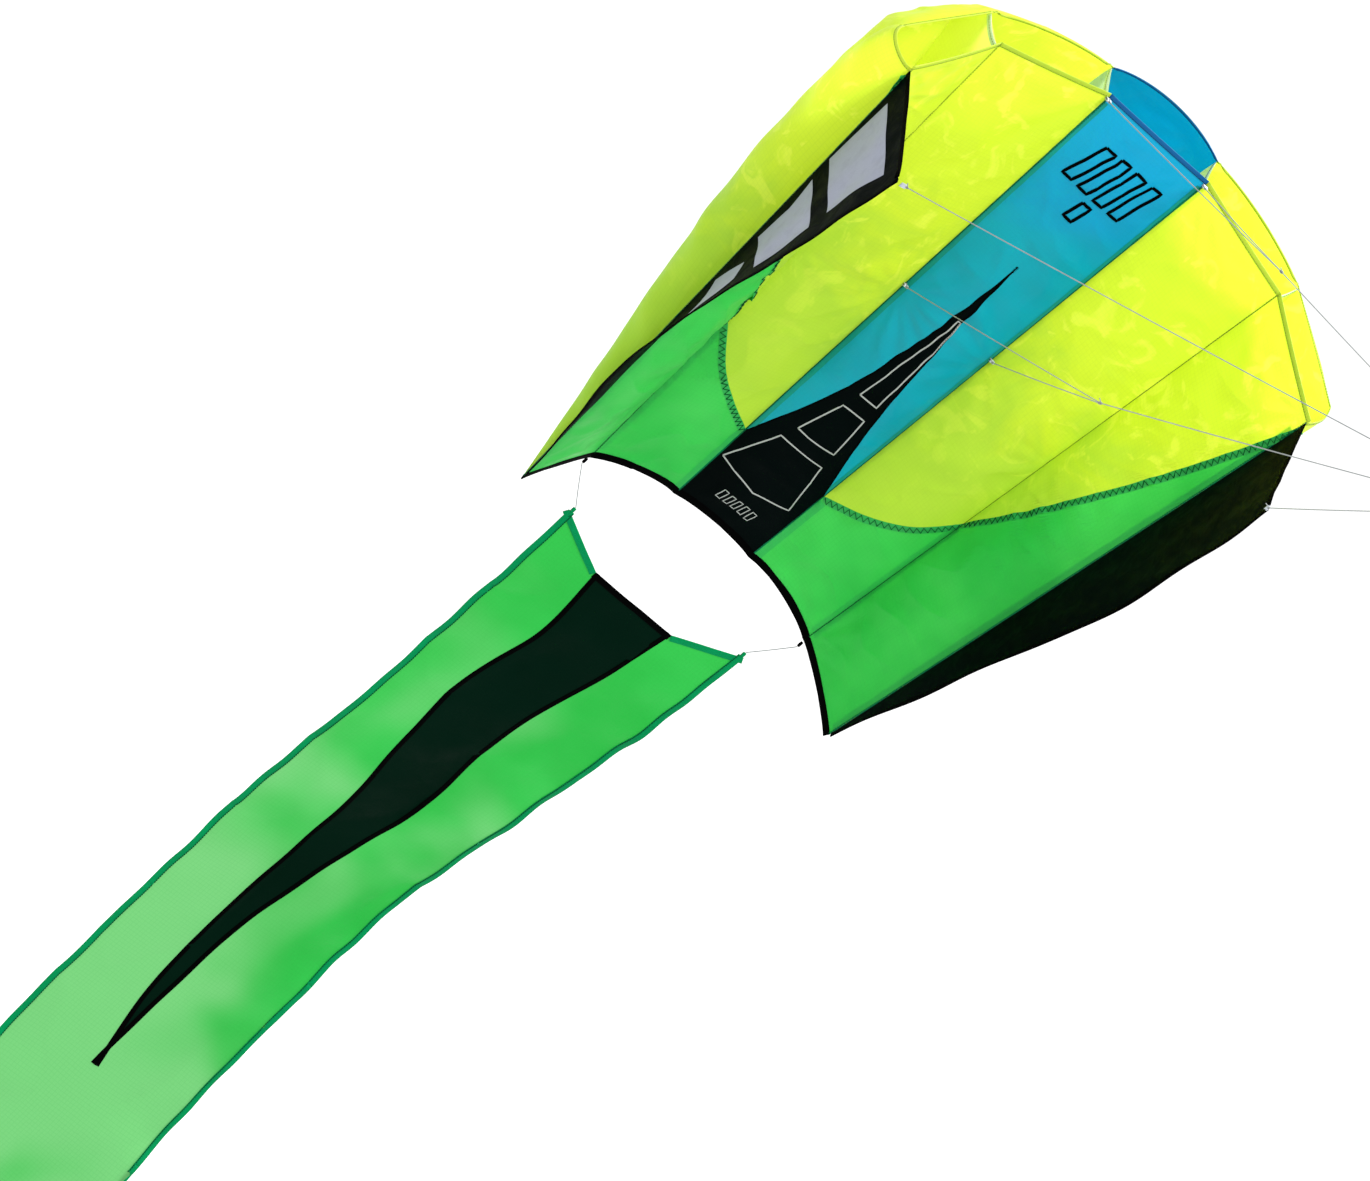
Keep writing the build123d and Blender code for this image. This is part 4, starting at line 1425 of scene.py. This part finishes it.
def make_spike_seam():
    surface = BOTTOM["middle", 1]
    chord = chord_steps(chord_of(SPIKE_HALF[-1][0]), chord_of(SPIKE_HALF[0][0]), 90)
    half = spike_half(chord) / middle_half(chord) / 2
    for word, side in SIDES.items():
        run = pointing(on_surface(surface, 0.5 + side * half, chord, (0, -1, 0)), (-side, 0, 0))
        add_tape(f"seam_spike_{word}", run, -0.2 * MM, 1.0 * MM, 0.5 * MM, "black_tape")
        add_stitches(f"stitch_spike_{word}", lifted(run, 0.3 * MM), "black_tape", 1.6 * MM)


def add_strip(name, surface, edge, chord, width, look, behind):
    """A strip of cloth behind a surface, or before it, along the edge where its share across is 0 or 1.
    width may change along the strip."""
    span = width_of(surface, chord)
    inward = np.linspace(0.04, 1, 5)
    across = np.abs(edge - inward * (width / span)[:, None])
    along = np.broadcast_to(chord[:, None], across.shape)
    points = surface(across, along) + np.array((0, behind, 0))
    uvs = np.stack((across * span[:, None], along * CHORD_LENGTH), axis=-1)
    return attach(add_cloth(name, points, look, uvs), "canopy")


def make_allowances():
    """Strips of turned-in cloth beside each seam of the bottom skin."""
    for word, side in SIDES.items():
        share = 1.0 if side > 0 else 0.0
        strips = [("inner_blue", BOTTOM["middle", 1], share, "teal_band_painted_shade", 0.01, 0.838, 6),
                  ("inner_yellow", BOTTOM["inner", side], 0.0, "yellow", 0, 0.82, 5),
                  ("inner_green", BOTTOM["inner", side], 0.0, "green_overlap_painted_shade", 0.848, 1.0, 9),
                  ("middle_near", BOTTOM["inner", side], 1.0, "green", 0.67, 0.99, 7),
                  ("middle_far", BOTTOM["outer", side], 0.0, "green", 0.67, 0.99, 7),
                  ("outer", BOTTOM["outer", side], 1.0, "green", 0.03, 0.99, 8)]
        for name, surface, at, look, start, finish, width in strips:
            # The teal and the green strips lie on the flyer's face, carrying their painted shade of two
            # layers against the backlight; the others lie behind the skin.
            behind = -0.35 * MM if look in ("teal_band_painted_shade", "green_overlap_painted_shade") else 0.5 * MM
            chord = chord_steps(start, finish)
            room = middle_half(chord) - spike_half(chord) if look == "teal_band_painted_shade" else np.inf
            add_strip(f"allowance_{name}_{word}", surface, at, chord, np.minimum(width * MM, room), look,
                      behind)


# ---- Prints -------------------------------------------------------------------------------------

PRINT_LIFT = 0.45 * MM
PRINT_THICKNESS = 0.25 * MM
OUTLINE_WIDTH = 1.9 * MM
OUTLINE_PITCH = 3 * MM
# Plain outlines on the black spike, as (across, below the nose) round each one.
OUTLINES = {
    "large": ((-0.057, -0.644), (-0.033, -0.572), (0.030, -0.570), (0.045, -0.641), (0, -0.656)),
    "middle": ((-0.027, -0.550), (-0.014, -0.489), (0.019, -0.488), (0.027, -0.547)),
    "wedge": ((-0.010, -0.465), (0.002, -0.318), (0.006, -0.318), (0.016, -0.465)),
}


def on_middle(x, z):
    """The two shares of the middle cell at a place across it and below the nose."""
    chord = chord_of(np.asarray(z, float))
    return 0.5 + 0.5 * np.asarray(x, float) / middle_half(chord), chord


def filled(corners):
    """A closed outline of corners with more points between them, about a pitch apart."""
    corners = [np.array(c, float) for c in corners]
    points = []
    for start, finish in zip(corners, corners[1:] + corners[:1]):
        steps = max(1, int(np.linalg.norm(finish - start) / OUTLINE_PITCH))
        points += [start + (finish - start) * i / steps for i in range(steps)]
    points.append(corners[0])
    return np.array(points)


def add_outline(name, corners, look, width=OUTLINE_WIDTH):
    """A printed outline on the middle cell, from corners at (across, below the nose)."""
    points = filled(corners)
    across, along = on_middle(points[:, 0], points[:, 1])
    run = on_surface(BOTTOM["middle", 1], across, along)
    add_tape(name, lifted(run, PRINT_LIFT), -width / 2, width / 2, PRINT_THICKNESS, look)


def make_spike_prints():
    for name, corners in OUTLINES.items():
        add_outline(f"print_outline_{name}", corners, "silver")


# A bar leans sideways by the first of these over a height of the second.
BAR_SLANT, BAR_SLANT_HEIGHT = 0.012, 0.054
# The top and the bottom of each row below the nose, the number of bars, their pitch and width, and the
# look and width of their outlines.
BAR_ROWS = {"nose": (-0.044, -0.102, 4, 0.024, 0.014, "black_tape", 4.0 * MM),
            "small": (-0.112, -0.138, 1, 0.021, 0.012, "black_tape", 4.0 * MM),
            "rear": (-0.676, -0.690, 5, 0.011, 0.006, "silver", 1.2 * MM)}


def make_bar_prints():
    """Rows of plain slanted bars, where the real kite carries lettering."""
    for row, (top, low, count, pitch, width, look, outline) in BAR_ROWS.items():
        for index in range(count):
            left = (index - count / 2) * pitch
            lean = BAR_SLANT * (top - low) / BAR_SLANT_HEIGHT
            corners = ((left + lean, top), (left + width + lean, top), (left + width, low), (left, low))
            add_outline(f"print_bar_{row}_{index + 1}", corners, look, outline)


# Light windows on the outer face of each fin. Each has a seam-side edge and a free-side edge, given by
# points at (chord in metres from the nose, share of the fin's depth).
WINDOWS = {
    "front": (((0.043, 0.09), (0.146, 0.05)), ((0.057, 0.81), (0.150, 0.74))),
    "middle": (((0.177, 0.08), (0.218, 0.16), (0.275, 0.12)), ((0.178, 0.77), (0.268, 0.77))),
    "rear": (((0.296, 0.36), (0.352, 0.12), (0.408, 0.80)), ((0.306, 0.62), (0.409, 0.83))),
}


WINDOW_LIFT = 0.6 * MM


def edge_through(points, share):
    """Points along an edge through evenly spaced points."""
    at = np.linspace(0, 1, len(points))
    return np.stack([np.interp(share, at, values) for values in zip(*points)], -1)


def make_windows():
    share, down = share_grid(16, 16)
    for word, side in SIDES.items():
        for name, edges in WINDOWS.items():
            seam_side, free_side = (edge_through(edge, share) for edge in edges)
            place = seam_side + (free_side - seam_side) * column(down)
            points = FIN[side](place[..., 1], place[..., 0] / CHORD_LENGTH)
            outward = np.array((side, 0, 0)) * WINDOW_LIFT
            attach(add_cloth(f"print_window_{name}_{word}", points + outward, "window", place), "canopy")


# ---- Tail hems ----------------------------------------------------------------------------------


def tail_run(x, z, way):
    """A run along the tail at the given places, facing the flyer."""
    path = tail_surface(x, z)
    step = 1e-3
    first, second = tail_surface(x + step, z), tail_surface(x, z + step)
    normal = unit(np.cross(first - path, second - path))
    normal = np.where(normal[:, 1:2] > 0, -normal, normal)
    ahead = unit(np.gradient(path, axis=0))
    return pointing((path, unit(np.cross(normal, ahead)), normal), way)


FLAME_BAND = 6 * MM
FLAME_BAND_THICKNESS = 1.3 * MM
TAIL_HEM = 8.5 * MM
TAIL_HEM_THICKNESS = 1.9 * MM
TAIL_STITCH_RADIUS = 0.6 * MM
EDGE_WRAP = 0.4 * MM


def tail_reach(stretch):
    _, _, _, top, low = stretch
    return TAIL_CORNER_Z if top is None else top, TAIL_REAR_CORNER_Z if low is None else low


def add_tail_hem(name, run, look, nodes, holder):
    return add_tape(name, run, -EDGE_WRAP, TAIL_HEM - EDGE_WRAP, TAIL_HEM_THICKNESS, look, nodes, holder)


def make_side_hem(stretch, word):
    """The hem and its stitches down one side of a stretch."""
    name, side = stretch[0], SIDES[word]
    z = np.linspace(*tail_reach(stretch), 70)
    run = tail_run(side * tail_half(z), z, (-side, 0, 0))
    add_tail_hem(f"tape_tail_{name}_{word}", run, "green_tape", panel_nodes(stretch, "hems"), stretch)
    add_stitches(f"stitch_tail_{name}_{word}", lifted(run, TAIL_HEM_THICKNESS / 2), "thread_green",
                 TAIL_HEM - 1.2 * MM, radius=TAIL_STITCH_RADIUS, holder=stretch)


def make_flame_seam(stretch, word):
    """The band and its stitches along one side of the flame, where it crosses a stretch."""
    name, side = stretch[0], SIDES[word]
    top, low = tail_reach(stretch)
    seam_low = max(low, FLAME_LEFT[0][0])
    if seam_low >= top:
        return
    seam_top = TAIL_MIDDLE_Z if stretch[3] is None else top
    z = np.linspace(seam_top, seam_low, 70)
    seam = tail_run(tail_flame_edge(side, z), z, (side, 0, 0))
    add_tape(f"seam_flame_{name}_{word}", seam, -FLAME_BAND, EDGE_WRAP, FLAME_BAND_THICKNESS, "black_tape",
             holder=stretch)
    add_stitches(f"stitch_flame_{name}_{word}", lifted(seam, 0.4 * MM), "black_tape", -1.2 * MM,
                 holder=stretch)


def make_tail_edges():
    for stretch in TAIL_STRETCHES:
        for word in SIDES:
            make_side_hem(stretch, word)
            make_flame_seam(stretch, word)
    inner = RIB_CORNER["inner"][0] * (1 - CHORD_SHARE)
    for name, start, finish, look in (("left", -TAIL_FRONT_HALF, -inner, "green_tape"),
                                      ("flame", -inner, inner, "black_tape"),
                                      ("right", inner, TAIL_FRONT_HALF, "green_tape")):
        across = np.linspace(start, finish, 30)
        run = tail_run(across, tail_top(across), (0, 0, -1))
        add_tail_hem(f"tape_tail_front_edge_{name}", run, look, ["tail_head_hems"], "tail_head")
    across = np.linspace(-TAIL_REAR_HALF, TAIL_REAR_HALF, 60)
    run = tail_run(across, tail_low(across), (0, 0, 1))
    add_tail_hem("tape_tail_rear_edge", run, "green_tape", ["tail_tip_hems"], "tail_tip")


make_side_bottoms()
make_middle_bottoms()
make_tops()
make_side_walls()
make_ribs()
make_fins()
make_lip_hems()
make_trailing_binding()
make_intake_edges()
make_fin_bindings()
make_rib_seams()
make_curved_seams()
make_spike_seam()
make_allowances()
make_spike_prints()
make_bar_prints()
make_windows()
make_tail()
make_tail_edges()
CAD_NODES["tow_ring"].data.materials.clear()
CAD_NODES["tow_ring"].data.materials.append(MATERIALS["steel"])

# ---- Lights and floor ---------------------------------------------------------------------------

FLOOR_Z = -4.0


def add_area_light(name, place, aim, size, power, colour=(1, 1, 1)):
    data = bpy.data.lights.new(name, "AREA")
    data.shape = "DISK"
    data.size = size
    data.energy = power
    data.color = colour
    light = bpy.data.objects.new(name, data)
    light.location = place
    light.rotation_euler = (Vector(aim) - Vector(place)).to_track_quat("-Z", "Y").to_euler()
    bpy.context.scene.collection.objects.link(light)


def make_stage():
    half = 45
    mesh = bpy.data.meshes.new("floor")
    mesh.from_pydata([(-half, -half, FLOOR_Z), (half, -half, FLOOR_Z), (half, half, FLOOR_Z),
                      (-half, half, FLOOR_Z)], [], [(0, 1, 2, 3)])
    material = bpy.data.materials.new("floor_white")
    nodes = Nodes(material)
    surface = nodes.add("ShaderNodeBsdfPrincipled", {
        "Base Color": (0.98, 0.98, 0.98, 1), "Roughness": 0.9, "Specular IOR Level": 0.0})
    nodes.add("ShaderNodeOutputMaterial", {0: surface.outputs[0]})
    mesh.materials.append(material)
    floor = bpy.data.objects.new("floor", mesh)
    bpy.context.scene.collection.objects.link(floor)
    world = bpy.data.worlds.new("studio")
    world.use_nodes = True
    world.node_tree.nodes["Background"].inputs[0].default_value = (1, 1, 1, 1)
    world.node_tree.nodes["Background"].inputs[1].default_value = 1.04
    bpy.context.scene.world = world
    add_area_light("sun_side", (2.2, 3.4, 3.0), (0.1, 1.3, -0.7), 1.0, 260)
    add_area_light("fill_side", (0.8, -0.6, 3.6), (0, 1.35, -0.85), 0.8, 150)


make_stage()
bpy.context.scene.view_settings.view_transform = "Standard"
